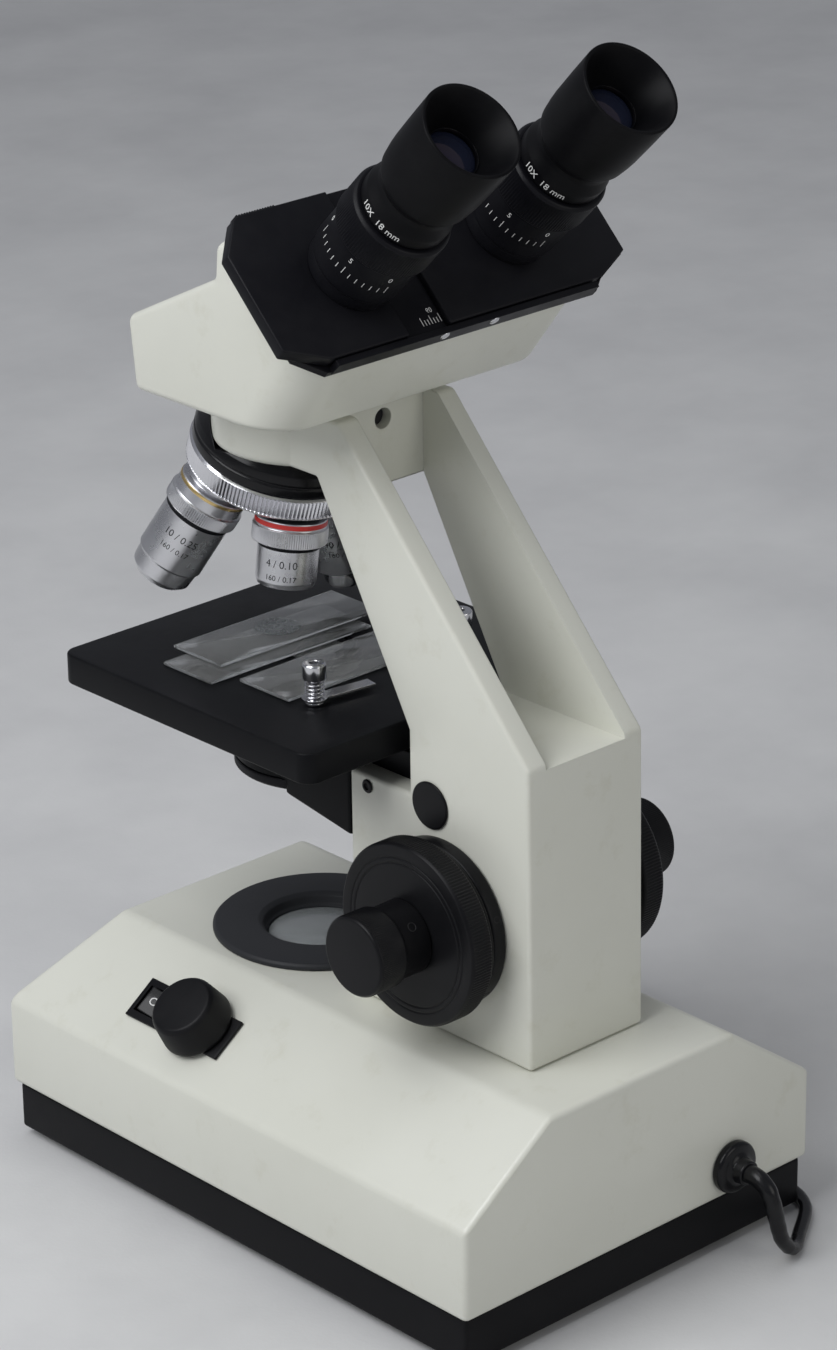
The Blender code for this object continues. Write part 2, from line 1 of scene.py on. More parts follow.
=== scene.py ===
# Binocular microscope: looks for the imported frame.  Metres in the frame's own axes.
import bpy, bmesh, math, json
from mathutils import Vector, Matrix, noise


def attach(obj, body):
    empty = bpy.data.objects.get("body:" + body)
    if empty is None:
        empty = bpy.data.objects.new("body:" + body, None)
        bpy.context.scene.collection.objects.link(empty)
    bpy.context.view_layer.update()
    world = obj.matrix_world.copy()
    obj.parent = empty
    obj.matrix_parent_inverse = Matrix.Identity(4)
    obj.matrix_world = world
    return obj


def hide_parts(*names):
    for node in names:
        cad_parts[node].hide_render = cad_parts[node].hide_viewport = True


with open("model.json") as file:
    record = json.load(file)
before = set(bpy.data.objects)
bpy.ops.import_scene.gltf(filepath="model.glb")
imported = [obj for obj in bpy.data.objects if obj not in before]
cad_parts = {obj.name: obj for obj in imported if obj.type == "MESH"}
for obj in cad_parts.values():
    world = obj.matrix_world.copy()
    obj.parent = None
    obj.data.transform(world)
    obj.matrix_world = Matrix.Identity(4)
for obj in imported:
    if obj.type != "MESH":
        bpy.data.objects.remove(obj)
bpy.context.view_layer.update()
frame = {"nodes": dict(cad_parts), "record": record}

RECORD = frame["record"]
BODY = {n: b for b, ns in RECORD["behaviour"]["bodies"].items() for n in ns}
MM = 0.001
DY, DZ = 123.25, 22.0


def P(x, y, z):
    return Vector((x * MM, (y + DY) * MM, (z + DZ) * MM))


def D(x, y, z):
    return Vector((x, y, z)).normalized()


X, Y, Z = Vector((1, 0, 0)), Vector((0, 1, 0)), Vector((0, 0, 1))

# ------------------------------------------------------------------ camera, at the object's viewing angle
R = ((-0.7329560695867718, 0.6801494075715551, -0.013121868615952492),
     (0.2690537693331814, 0.27211890313632536, -0.9238838518793857),
     (-0.6248083460258184, -0.6806967650400183, -0.3824479635199216))
cd = bpy.data.cameras.new('camera')
cam = bpy.data.objects.new('camera', cd)
bpy.context.scene.collection.objects.link(cam)
cd.sensor_width = 36.0
cd.sensor_fit = 'AUTO'
cd.lens = 4515.18 * 36.0 / 1350.0
cd.shift_x = (418.5 - 413.533) / 1350.0
cd.shift_y = (665.456 - 675.0) / 1350.0
cd.clip_start, cd.clip_end = 0.05, 60.0
cam.matrix_world = Matrix(((R[0][0], -R[1][0], -R[2][0], 0.98932), (R[0][1], -R[1][1], -R[2][1], 1.08710),
                           (R[0][2], -R[1][2], -R[2][2], 0.81004), (0, 0, 0, 1)))
bpy.context.scene.camera = cam

# ------------------------------------------------------------------ materials
COL = bpy.context.scene.collection


class Mat:
    """small builder for node materials"""
    def __init__(s, name):
        s.m = bpy.data.materials.new(name)
        s.m.use_nodes = True
        s.t = s.m.node_tree
        s.b = s.t.nodes['Principled BSDF']

    def n(s, kind, **kw):
        o = s.t.nodes.new(kind)
        for k, v in kw.items():
            setattr(o, k, v)
        return o

    def coords(s, scale=(1, 1, 1), axis=None):
        tc = s.n('ShaderNodeTexCoord')
        mp = s.n('ShaderNodeMapping')
        if axis is not None:
            # rotate so that the given axis becomes Z
            q = Vector(axis).rotation_difference(Z).to_euler()
            pre = s.n('ShaderNodeMapping')
            pre.inputs['Rotation'].default_value = q
            s.t.links.new(tc.outputs['Object'], pre.inputs['Vector'])
            s.t.links.new(pre.outputs['Vector'], mp.inputs['Vector'])
        else:
            s.t.links.new(tc.outputs['Object'], mp.inputs['Vector'])
        mp.inputs['Scale'].default_value = scale
        return mp.outputs['Vector']

    def noise(s, scale, detail=3, rough=0.5, vec=None):
        o = s.n('ShaderNodeTexNoise')
        o.inputs['Scale'].default_value = scale
        o.inputs['Detail'].default_value = detail
        o.inputs['Roughness'].default_value = rough
        s.t.links.new(vec if vec is not None else s.coords(), o.inputs['Vector'])
        return o.outputs['Fac']

    def ramp(s, fac, stops):
        o = s.n('ShaderNodeValToRGB')
        while len(o.color_ramp.elements) < len(stops):
            o.color_ramp.elements.new(0.5)
        for e, (p, c) in zip(o.color_ramp.elements, stops):
            e.position = p
            e.color = (*c, 1) if len(c) == 3 else c
        s.t.links.new(fac, o.inputs['Fac'])
        return o.outputs['Color']

    def rng(s, fac, a, b, lo=0.3, hi=0.7):
        o = s.n('ShaderNodeMapRange')
        for k, v in (('From Min', lo), ('From Max', hi), ('To Min', a), ('To Max', b)):
            o.inputs[k].default_value = v
        s.t.links.new(fac, o.inputs['Value'])
        return o.outputs['Result']

    def bump(s, layers, edge=0.0004):
        prev = None
        if edge:
            bv = s.n('ShaderNodeBevel')
            bv.samples = 4
            bv.inputs['Radius'].default_value = edge
            prev = bv.outputs['Normal']
        for fac, strength, dist in layers:
            o = s.n('ShaderNodeBump')
            o.inputs['Strength'].default_value = strength
            o.inputs['Distance'].default_value = dist
            s.t.links.new(fac, o.inputs['Height'])
            if prev is not None:
                s.t.links.new(prev, o.inputs['Normal'])
            prev = o.outputs['Normal']
        s.t.links.new(prev, s.b.inputs['Normal'])

    def set(s, **kw):
        for k, v in kw.items():
            s.b.inputs[k.replace('_', ' ')].default_value = v if not isinstance(v, tuple) or len(v) == 4 else (*v, 1)
        return s

    def link(s, out, name):
        s.t.links.new(out, s.b.inputs[name])


def paint_white():
    m = Mat('white_paint')
    big = m.noise(14, 4)
    fine = m.noise(900, 2)
    dirt = m.noise(60, 6, 0.65)
    c = m.ramp(big, [(0.3, (0.665, 0.668, 0.590)), (0.7, (0.705, 0.708, 0.632))])
    d = m.ramp(dirt, [(0.20, (0.90, 0.89, 0.85)), (0.42, (1, 1, 1))])
    mx = m.n('ShaderNodeMix', data_type='RGBA', blend_type='MULTIPLY')
    mx.inputs[0].default_value = 1.0
    m.t.links.new(c, mx.inputs[6])
    m.t.links.new(d, mx.inputs[7])
    m.link(mx.outputs[2], 'Base Color')
    m.link(m.rng(dirt, 0.30, 0.42), 'Roughness')
    m.set(Specular_IOR_Level=0.5, Coat_Weight=0.12, Coat_Roughness=0.2)
    m.bump([(fine, 0.10, 0.00006), (m.noise(160, 2), 0.12, 0.0003)], 0.0007)
    return m.m


def black(name, col=(0.0045, 0.0045, 0.0055), rough=(0.30, 0.44), grain=0.25, scale=2600, edge=0.0005, coat=0.0, wear=0.012, spec=0.16):
    m = Mat(name)
    n1 = m.noise(scale, 3)
    n2 = m.noise(45, 5, 0.6)
    m.link(m.ramp(n2, [(0.3, col), (0.75, tuple(c + wear * 0.35 for c in col))]), 'Base Color')
    m.link(m.rng(n2, *rough), 'Roughness')
    m.set(Specular_IOR_Level=spec, Coat_Weight=coat, Coat_Roughness=0.25)
    m.bump([(n1, grain, 0.00008), (n2, 0.08, 0.0004)], edge)
    return m.m


def metal(name, col, rough, axis=None, lathe=0.0, smudge=0.1, edge=0.0002):
    m = Mat(name)
    n2 = m.noise(70, 5, 0.6)
    hi = tuple(min(1, c * 1.06) for c in col)
    m.link(m.ramp(n2, [(0.3, col), (0.7, hi)]), 'Base Color')
    m.set(Metallic=1.0)
    m.link(m.rng(n2, rough, rough + smudge), 'Roughness')
    layers = [(m.noise(1500, 2), 0.03, 0.00005)]
    if lathe:
        layers.insert(0, (m.noise(1.0, 2, 0.6, m.coords((60, 60, 9000), axis)), lathe, 0.00005))
    m.bump(layers, edge)
    return m.m


def glass(name, col=(1, 1, 1), rough=0.0, film=0.0, ior=1.5, weight=1.0, dust=0.04):
    m = Mat(name)
    n = m.noise(240, 5, 0.7)
    m.link(m.ramp(n, [(0.3, col), (0.8, tuple(c * 0.94 for c in col))]), 'Base Color')
    m.link(m.rng(n, rough, rough + dust, 0.45, 0.8), 'Roughness')
    m.set(Transmission_Weight=weight, IOR=ior)
    if film:
        m.set(Thin_Film_Thickness=film, Thin_Film_IOR=1.38)
    if not film:
        m.bump([(n, 0.02, 0.00004)], 0)
    return m.m


def flat(name, col, rough=0.5, metallic=0.0):
    m = Mat(name)
    n = m.noise(1800, 3)
    m.link(m.ramp(n, [(0.25, tuple(c * 0.88 for c in col)), (0.7, col)]), 'Base Color')
    m.link(m.rng(n, rough, rough + 0.12), 'Roughness')
    m.set(Metallic=metallic)
    m.bump([(n, 0.1, 0.00003)], 0)
    return m.m


M_WHITE = paint_white()
M_BLACK = black('black_plastic')
M_SATIN = black('black_anodised', (0.0045, 0.0045, 0.0065), (0.32, 0.46), 0.18, 1500)
M_EYE = black('eyepiece_black', (0.0026, 0.0026, 0.0034), (0.38, 0.50), 0.14, 1800, spec=0.09)
M_GLOSS = black('black_gloss', (0.004, 0.004, 0.005), (0.16, 0.26), 0.05, 1500, coat=0.1, spec=0.22)
M_STAGE = black('stage_paint', (0.0040, 0.0042, 0.0052), (0.34, 0.44), 0.35, 1500, 0.0006, wear=0.008, spec=0.10)
M_RING = black('outlet_ring', (0.028, 0.029, 0.032), (0.42, 0.52), 0.30, 1700, 0.0005)
M_TRAY = black('tray_black', (0.0045, 0.0045, 0.0055), (0.42, 0.56), 0.30, 900, 0.0009, spec=0.12)
M_RUBBER = black('lead_rubber', (0.005, 0.005, 0.006), (0.20, 0.30), 0.12, 1400, 0.0003, spec=0.3)
M_CHROME = metal('chrome', (0.66, 0.66, 0.68), 0.10, smudge=0.10)
M_STEEL = metal('satin_steel', (0.50, 0.50, 0.52), 0.26, X, 0.25)
M_GLASS = glass('clear_glass', (0.97, 0.985, 0.975), 0.03, dust=0.12, weight=0.93)
M_LENS = glass('coated_lens', (0.02, 0.025, 0.05), 0.02, 300.0, 1.45, 0.3, dust=0.02)
M_FROST = glass('outlet_glass', (0.80, 0.84, 0.84), 0.18, 0, 1.5, 0.75)
M_MARK = flat('white_marking', (0.78, 0.78, 0.76), 0.45)
M_INK = flat('black_marking', (0.015, 0.015, 0.017), 0.4)
M_RED = flat('red_band', (0.62, 0.035, 0.03), 0.35)
M_GOLD = metal('gold_band', (0.75, 0.56, 0.25), 0.2)
M_CERAMIC = flat('ceramic', (0.75, 0.74, 0.70), 0.45)
M_CORE = black('laminated_core', (0.045, 0.045, 0.05), (0.3, 0.4), 0.3, 300)
# near-black: the lock screw's own black oxide, and painted hole shade on the dark discs that stand for holes in the
# knobs
M_OXIDE_AND_HOLE_SHADE = flat('black_oxide_and_painted_hole_shade', (0.006, 0.006, 0.007), 0.6)
M_PAPER = flat('label_paper', (0.74, 0.73, 0.66), 0.7)

# ------------------------------------------------------------------ mesh helpers
def from_bm(name, bm):
    bmesh.ops.recalc_face_normals(bm, faces=bm.faces)
    me = bpy.data.meshes.new(name)
    bm.to_mesh(me)
    bm.free()
    ob = bpy.data.objects.new(name, me)
    COL.objects.link(ob)
    return ob


def hull_rings(name, rings):
    bm = bmesh.new()
    vs = [[bm.verts.new(p) for p in r] for r in rings]
    n = len(vs[0])
    bm.faces.new(vs[0][::-1])
    bm.faces.new(vs[-1])
    for a, b in zip(vs, vs[1:]):
        for i in range(n):
            j = (i + 1) % n
            bm.faces.new((a[i], a[j], b[j], b[i]))
    return from_bm(name, bm)


def box(name, x0, x1, y0, y1, z0, z1):
    r = lambda z: [P(x0, y0, z), P(x1, y0, z), P(x1, y1, z), P(x0, y1, z)]
    return hull_rings(name, [r(z0), r(z1)])


def prism_x(name, pts, x0, x1):
    return hull_rings(name, [[P(x0, y, z) for y, z in pts], [P(x1, y, z) for y, z in pts]])


def frame_box(name, o, u, v, w, ur, vr, wr):
    q = lambda a, b, c: P(*(Vector(o) + a * u + b * v + c * w))
    r = lambda c: [q(ur[0], vr[0], c), q(ur[1], vr[0], c), q(ur[1], vr[1], c), q(ur[0], vr[1], c)]
    return hull_rings(name, [r(wr[0]), r(wr[1])])


def rounded(prof, r):
    """arc of radius about r (mm) at each corner of a closed (r, h) outline, off the axis"""
    out = []
    n = len(prof)
    for i in range(n):
        a, b, c = Vector(prof[i - 1]), Vector(prof[i]), Vector(prof[(i + 1) % n])
        la, lc = (a - b).length, (c - b).length
        if b.x < 1e-6 or min(la, lc) < 0.12:
            out.append(tuple(b))
            continue
        ua, uc = (a - b) / la, (c - b) / lc
        if ua.dot(uc) < -0.985:
            out.append(tuple(b))
            continue
        t = min(r, la * 0.42, lc * 0.42)
        p, q = b + ua * t, b + uc * t
        for k in range(4):
            s = k / 3
            out.append(tuple(p * (1 - s) ** 2 + b * 2 * s * (1 - s) + q * s ** 2))
    return out


def rev(name, prof, o, axis, seg=96, rnd=0.45, knurl=None):
    """spin a closed (r, h) outline; knurl = [(h0, h1, depth)] cuts fine ridges over those bands"""
    if rnd:
        prof = rounded(prof, rnd)
    ax = Vector(axis).normalized()
    t = Vector((1, 0, 0)) if abs(ax.x) < 0.9 else Vector((0, 1, 0))
    u = ax.cross(t).normalized()
    v = ax.cross(u)
    bm = bmesh.new()
    rings = []
    rmax = max(p[0] for p in prof)
    for r, h in prof:
        c = Vector(o) + ax * h
        if r < 1e-6:
            rings.append([bm.verts.new(P(*c))])
            continue
        ring = []
        for i in range(seg):
            a = 2 * math.pi * i / seg
            rr = r
            for (h0, h1, dep) in knurl or ():
                if h0 <= h <= h1 and r > rmax * 0.5 and i % 2:
                    rr -= dep
            ring.append(bm.verts.new(P(*(c + rr * (math.cos(a) * u + math.sin(a) * v)))))
        rings.append(ring)
    n = len(rings)
    for k in range(n):
        a, b = rings[k], rings[(k + 1) % n]
        if len(a) == 1 and len(b) == 1:
            continue
        for i in range(seg):
            j = (i + 1) % seg
            if len(a) == 1:
                bm.faces.new((a[0], b[j], b[i]))
            elif len(b) == 1:
                bm.faces.new((a[i], a[j], b[0]))
            else:
                bm.faces.new((a[i], a[j], b[j], b[i]))
    return from_bm(name, bm)


def cyl(name, o, axis, r, h0, h1, seg=64):
    return rev(name, [(0, h0), (r, h0), (r, h1), (0, h1)], o, axis, seg, 0)


def bake(ob):
    dg = bpy.context.evaluated_depsgraph_get()
    me = bpy.data.meshes.new_from_object(ob.evaluated_get(dg))
    old = ob.data
    ob.modifiers.clear()
    ob.data = me
    bpy.data.meshes.remove(old)


def boolean(ob, tools, op='DIFFERENCE'):
    for t in tools:
        m = ob.modifiers.new('b', 'BOOLEAN')
        m.operation = op
        m.solver = 'EXACT'
        m.object = t
        bake(ob)
        bpy.data.objects.remove(t, do_unlink=True)
        bm = bmesh.new()
        bm.from_mesh(ob.data)
        bmesh.ops.remove_doubles(bm, verts=bm.verts, dist=0.000004)
        bmesh.ops.dissolve_degenerate(bm, edges=bm.edges, dist=0.000004)
        bm.to_mesh(ob.data)
        bm.free()
    return ob


def bevel(ob, w, seg=4, ang=30):
    m = ob.modifiers.new('v', 'BEVEL')
    m.width = w * MM
    m.segments = seg
    m.limit_method = 'ANGLE'
    m.angle_limit = math.radians(ang)
    bake(ob)
    return ob


def bevel_edges(ob, test, w, seg):
    bm = bmesh.new()
    bm.from_mesh(ob.data)
    es = [e for e in bm.edges if test(e.verts[0].co, e.verts[1].co)]
    bmesh.ops.bevel(bm, geom=es, offset=w * MM, segments=seg, profile=0.5, affect='EDGES', clamp_overlap=True)
    bm.to_mesh(ob.data)
    bm.free()
    return ob


def smooth(ob, ang=32):
    for p in ob.data.polygons:
        p.use_smooth = True
    ob.data.set_sharp_from_angle(angle=math.radians(ang))
    return ob


DONE = set()


def stand(ob, node, mat, ang=32):
    """ob takes the place of a CAD node"""
    ob.name = node + '_fine'
    ob.data.materials.clear()
    ob.data.materials.append(mat)
    smooth(ob, ang)
    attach(ob, BODY[node])
    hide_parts(node)
    DONE.add(node)
    return ob


def add(ob, name, mat, node, ang=32):
    """an extra small piece that rides with a node's body"""
    ob.name = name
    ob.data.materials.clear()
    ob.data.materials.append(mat)
    if ob.type == 'MESH':
        smooth(ob, ang)
    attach(ob, BODY[node])
    return ob


def text_mesh(txt, size):
    cu = bpy.data.curves.new('t', 'FONT')
    cu.body = txt
    cu.size = size
    cu.align_x = 'CENTER'
    cu.align_y = 'CENTER'
    cu.extrude = 0.05
    cu.resolution_u = 3
    o = bpy.data.objects.new('t', cu)
    COL.objects.link(o)
    me = bpy.data.meshes.new_from_object(o.evaluated_get(bpy.context.evaluated_depsgraph_get()))
    bpy.data.objects.remove(o, do_unlink=True)
    bm = bmesh.new()
    bm.from_mesh(me)
    bpy.data.meshes.remove(me)
    bmesh.ops.subdivide_edges(bm, edges=[e for e in bm.edges if e.calc_length() > size * 0.15], cuts=2)
    bmesh.ops.triangulate(bm, faces=bm.faces)
    return bm


def wrap_text(name, txt, size, o, axis, r, h, toward, node, mat, flip=1.0):
    """lettering round a turned piece: o axis r h place it (mm), toward is the outward direction of its middle"""
    ax = Vector(axis).normalized()
    u = (Vector(toward) - ax * Vector(toward).dot(ax)).normalized()
    w = ax.cross(u) * flip
    bm = text_mesh(txt, size)
    for v in bm.verts:
        a = v.co.x / r
        c = Vector(o) + ax * (h + v.co.y * flip) + (r + 0.02 + v.co.z * 0.6) * (math.cos(a) * u + math.sin(a) * w)
        v.co = P(*c)
    return add(from_bm(name, bm), name, mat, node)


def flat_text(name, txt, size, c, u, v, node, mat):
    n = u.cross(v)
    bm = text_mesh(txt, size)
    for q in bm.verts:
        q.co = P(*(Vector(c) + u * q.co.x + v * q.co.y + n * (0.02 + q.co.z * 0.6)))
    return add(from_bm(name, bm), name, mat, node)


def ticks(name, o, axis, r, h0, a0, a1, n, toward, node, mat, long=2.2, short=1.2, every=5, wid=0.28):
    """engraved scale round a turned piece"""
    ax = Vector(axis).normalized()
    u = (Vector(toward) - ax * Vector(toward).dot(ax)).normalized()
    w = ax.cross(u)
    bm = bmesh.new()
    for i in range(n):
        a = math.radians(a0 + (a1 - a0) * i / (n - 1))
        L = long if i % every == 0 else short
        da = wid / 2 / r
        q = []
        for rr in (r - 0.05, r + 0.04):
            for aa, hh in ((a - da, h0), (a + da, h0), (a + da, h0 + L), (a - da, h0 + L)):
                q.append(bm.verts.new(P(*(Vector(o) + ax * hh + rr * (math.cos(aa) * u + math.sin(aa) * w)))))
        for f in ((0, 1, 2, 3), (4, 5, 6, 7), (0, 1, 5, 4), (1, 2, 6, 5), (2, 3, 7, 6), (3, 0, 4, 7)):
            bm.faces.new([q[k] for k in f])
    return add(from_bm(name, bm), name, mat, node)


# ------------------------------------------------------------------ mains lead, before the rest
CORD_D = 5.0
FL = -22.0 + CORD_D / 2 + 0.1
COIL = (-120.0, -165.0)


def catmull(pts, step):
    pts = [Vector(p) for p in pts]
    ext = [2 * pts[0] - pts[1]] + pts + [2 * pts[-1] - pts[-2]]
    fine = []
    for i in range(1, len(ext) - 2):
        a, b, c, d = ext[i - 1:i + 3]
        for k in range(20):
            t = k / 20
            fine.append(0.5 * ((2 * b) + (c - a) * t + (2 * a - 5 * b + 4 * c - d) * t ** 2 + (3 * b - a - 3 * c + d) * t ** 3))
    fine.append(pts[-1])
    tot = sum((q - p).length for p, q in zip(fine, fine[1:]))
    n = max(2, round(tot / step))
    out, acc, k = [fine[0]], 0.0, 1
    for p, q in zip(fine, fine[1:]):
        seg = (q - p).length
        while k < n and acc + seg >= tot * k / n:
            out.append(p + (q - p) * ((tot * k / n - acc) / seg))
            k += 1
        acc += seg
    out.append(fine[-1])
    return out


ROUTE = [(-44.6, 9.0, 11.6), (-44.65, 13.0, 11.3), (-45.0, 17.2, 8.6), (-45.6, 19.6, 3.0), (-46.6, 20.8, -4.0), (-48.6, 21.2, -11.0), (-52.5, 21.0, -16.2), (-58.5, 18.8, FL),
         (-66.0, 13.6, FL), (-74.5, 8.0, FL), (-82.0, 2.2, FL), (-87.0, -6.0, FL), (-88.6, -16.0, FL), (-88.8, -36.0, FL), (-89.2, -62.0, FL), (-89.4, -90.0, FL),
         (-89.0, -118.0, FL), (-88.9, -144.8, FL)]
# the coil: three layers of turns, clockwise seen from above, from the +X side heading -Y
NT = 30
keys = [(0.0, 31.3, 0), (0.72, 31.3, 0), (1.0, 26.3, 0), (1.72, 26.3, 0), (2.0, 21.3, 0), (2.72, 21.3, 0), (3.0, 21.3, 1), (3.3, 21.3, 1), (3.6, 26.3, 1), (4.3, 26.3, 1),
        (4.6, 31.3, 1), (5.25, 31.3, 1), (5.5, 26.3, 2), (6.5, 26.3, 2), (6.75, 31.3, 2), (7.9, 31.3, 2)]


def coil_at(turn):
    for (t0, r0, l0), (t1, r1, l1) in zip(keys, keys[1:]):
        if turn <= t1:
            f = (turn - t0) / (t1 - t0)
            f = f * f * (3 - 2 * f)
            return r0 + (r1 - r0) * f, FL + 5.02 * (l0 + (l1 - l0) * f)
    return keys[-1][1], FL + 5.02 * keys[-1][2]


pts = []
for i in range(int(7.9 * NT) + 1):
    r, zz = coil_at(i / NT)
    a = 2 * math.pi * i / NT
    pts.append((COIL[0] + r * math.cos(a), COIL[1] - r * math.sin(a), zz))
ZT = FL + 10.04
tail = [pts[-2], pts[-1], (COIL[0] + 30.6, COIL[1] + 7.0, ZT), (COIL[0] + 30.4, COIL[1] - 6.0, ZT), (COIL[0] + 27.6, COIL[1] - 17.0, ZT), (COIL[0] + 22.0, COIL[1] - 27.0, ZT - 2.0),
        (COIL[0] + 17.6, COIL[1] - 36.0, -14.0), (COIL[0] + 16.8, COIL[1] - 40.0, -14.6)]
end = catmull(tail[1:], 5.0)[1:]
lead_pts = catmull(ROUTE, 4.5) + [Vector(p) for p in pts] + [Vector(p) for p in end]
cu = bpy.data.curves.new('mains_lead', 'CURVE')
cu.dimensions = '3D'
cu.bevel_depth = CORD_D / 2 * MM
cu.bevel_resolution = 6
cu.use_fill_caps = True
sp = cu.splines.new('POLY')
sp.points.add(len(lead_pts) - 1)
for q, p in zip(sp.points, lead_pts):
    q.co = (*P(*p), 1.0)
lead = bpy.data.objects.new('mains_lead', cu)
COL.objects.link(lead)
cu.materials.append(M_RUBBER)
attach(lead, BODY['cord_lead'])
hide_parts('cord_lead', 'cord_coil')
DONE.update(('cord_lead', 'cord_coil'))

zf = -22.0 + 7.0
PX, PY0 = COIL[0] + 16.8, COIL[1] - 40.0
pr = lambda y, a_, b_: [P(PX + a_ * math.copysign(abs(math.cos(t)) ** 0.5, math.cos(t)), y, zf + b_ * math.copysign(abs(math.sin(t)) ** 0.5, math.sin(t)))
                        for t in [2 * math.pi * (i + 0.5) / 32 for i in range(32)]]
plug = hull_rings('plug', [pr(PY0, 4.2, 3.6), pr(PY0 - 4, 5.2, 4.2), pr(PY0 - 8, 7, 5), pr(PY0 - 13, 11.5, 5.9), pr(PY0 - 20, 16.8, 6.6), pr(PY0 - 28, 17, 6.7), pr(PY0 - 38, 17, 6.7), pr(PY0 - 39.4, 16.6, 6.4), pr(PY0 - 40, 15.6, 5.8)])
stand(plug, 'cord_plug', M_RUBBER, 45)
for s in (-1, 1):
    pin = rev('pin', [(0, 0), (2.0, 0), (2.0, 17.0), (1.6, 18.4), (0, 18.4)], (PX + s * 9.3, PY0 - 40, zf), -Y, 32, 0.3)
    add(pin, 'plug_pin_%s' % ('a' if s < 0 else 'b'), M_CHROME, 'cord_plug')
# tapered strain relief with its flange
grip = rev('g', [(2.8, -6), (5.9, -6), (5.9, 0.3), (9.8, 0.3), (9.8, 2.6), (9.1, 3.6), (6.4, 4.3), (4.9, 5.0), (4.5, 9.0), (2.8, 9.0)], (-44.6, 0, 11.6), Y, 72, 0.5)
stand(grip, 'cord_grip', M_GLOSS)
sleeve_pts = catmull(ROUTE[:7], 1.2)
bm = bmesh.new()
rings = []
for i, p in enumerate(sleeve_pts):
    s = i / (len(sleeve_pts) - 1)
    tan = (sleeve_pts[min(i + 1, len(sleeve_pts) - 1)] - sleeve_pts[max(i - 1, 0)]).normalized()
    e1 = tan.cross(X).normalized()
    e2 = tan.cross(e1)
    rr = 3.5 - 0.85 * s ** 0.7 + (0.10 if 2 < i < len(sleeve_pts) - 6 and i % 4 < 2 else 0.0)
    rings.append([bm.verts.new(P(*(p + rr * (math.cos(t) * e1 + math.sin(t) * e2)))) for t in [2 * math.pi * k / 24 for k in range(24)]])
bm.faces.new(rings[0][::-1])
bm.faces.new(rings[-1])
for r0, r1 in zip(rings, rings[1:]):
    for k in range(24):
        j = (k + 1) % 24
        bm.faces.new((r0[k], r0[j], r1[j], r1[k]))
sleeve = add(from_bm('sleeve', bm), 'strain_relief', M_RUBBER, 'cord_grip', 60)

# ------------------------------------------------------------------ base
BASE_W, BASE_L, BAND_H, TOP_H, TOP_W, TOP_F, TRAY_H, GAP = 85.0, 246.5, 34.6, 63.9, 44.3, 227.5, 19.0, 0.3
OPT_Y = -166.5


def base_rings(d, z0):
    w, f, r = BASE_W - d, BASE_L - d, d
    tw, tf = TOP_W - d * 0.45, TOP_F - d * 0.6
    a = [(w, -f), (w, -r), (-w, -r), (-w, -f)]
    b = [(tw, -tf), (tw, -r), (-tw, -r), (-tw, -tf)]
    return [[P(x, y, z0) for x, y in a], [P(x, y, BAND_H - d * 0.25) for x, y in a], [P(x, y, TOP_H - d) for x, y in b]]


base = bevel(hull_rings('b', base_rings(0.0, 0.0)), 2.2, 5, 20)
SO, SN = Vector((BASE_W, 0, BAND_H)), D(TOP_H - BAND_H, 0, BASE_W - TOP_W)
SS = D(TOP_W - BASE_W, 0, TOP_H - BAND_H)
boolean(base, [
    hull_rings('c0', base_rings(3.0, -5.0)),
    cyl('c1', (0, OPT_Y, 0), Z, 24.0, 50, 80, 96),
    frame_box('c2', SO, Y, SS, SN, (-190.3, -142.2), (15.6, 30.4), (-9, 9)),
    cyl('c3', (-44.6, 0, 11.6), Y, 6.2, -8, 8, 48)])
stand(base, 'base_housing', M_WHITE, 28)
tray = bevel(box('t', -83, 83, -244.5, -2, -TRAY_H, -GAP), 1.6, 4)
boolean(tray, [box('c', -80.5, 80.5, -242, -4.5, -TRAY_H + 3, 5)])
stand(tray, 'bottom_tray', M_TRAY, 28)
for nm, fx, fy in (('foot_front_left', 70, -230), ('foot_front_right', -70, -230), ('foot_rear_left', 70, -16), ('foot_rear_right', -70, -16)):
    stand(rev(nm, [(0, -22.0), (7.5, -22.0), (9, -TRAY_H - GAP), (0, -TRAY_H - GAP)], (fx, fy, 0), Z, 48, 0.4), nm, M_RUBBER)

# switch panel
ROCK_Y, ROCK_S, ROCK_N, DIM_Y = -179.5, 23.0, -4.0, -157.5
bez = bevel(frame_box('z', SO, Y, SS, SN, (-191.3, -141.2), (14.6, 31.4), (GAP, 1.5)), 0.35, 3)
boolean(bez, [frame_box('u', SO, Y, SS, SN, (-189.8, -142.7), (16.1, 29.9), (-8, 0.9))], 'UNION')
boolean(bez, [frame_box('c', SO, Y, SS, SN, (ROCK_Y - 9.7, ROCK_Y + 9.7), (17.4, 28.6), (-12, 5)),
              cyl('c2', SO + Y * DIM_Y + SS * ROCK_S, SN, 3.5, -12, 5, 48)])
stand(bez, 'switch_bezel', M_BLACK)


def rock(a, n):
    t = math.radians(-8)
    return a * math.cos(t) - (n - ROCK_N) * math.sin(t), a * math.sin(t) + (n - ROCK_N) * math.cos(t) + ROCK_N


top = [(7.8 - 15.6 * k / 10, 0.8 + 1.4 * abs(1 - k / 5) ** 1.3) for k in range(11)]
rp = [rock(*p) for p in [(-7.2, -6), (7.2, -6), (7.8, -4)] + top + [(-7.8, -4)]]
rocker = bevel(hull_rings('r', [[P(*(SO + Y * (ROCK_Y + a) + SS * s + SN * n)) for a, n in rp] for s in (17.8, 28.2)]), 0.45, 3, 50)
stand(rocker, 'switch_rocker', M_GLOSS, 30)
t8 = math.radians(-8)
RU, RN = Y * math.cos(t8) + SN * math.sin(t8), SN * math.cos(t8) - Y * math.sin(t8)


def on_rock(a, n):
    a2, n2 = rock(a, n)
    return SO + Y * (ROCK_Y + a2) + SS * ROCK_S + SN * n2


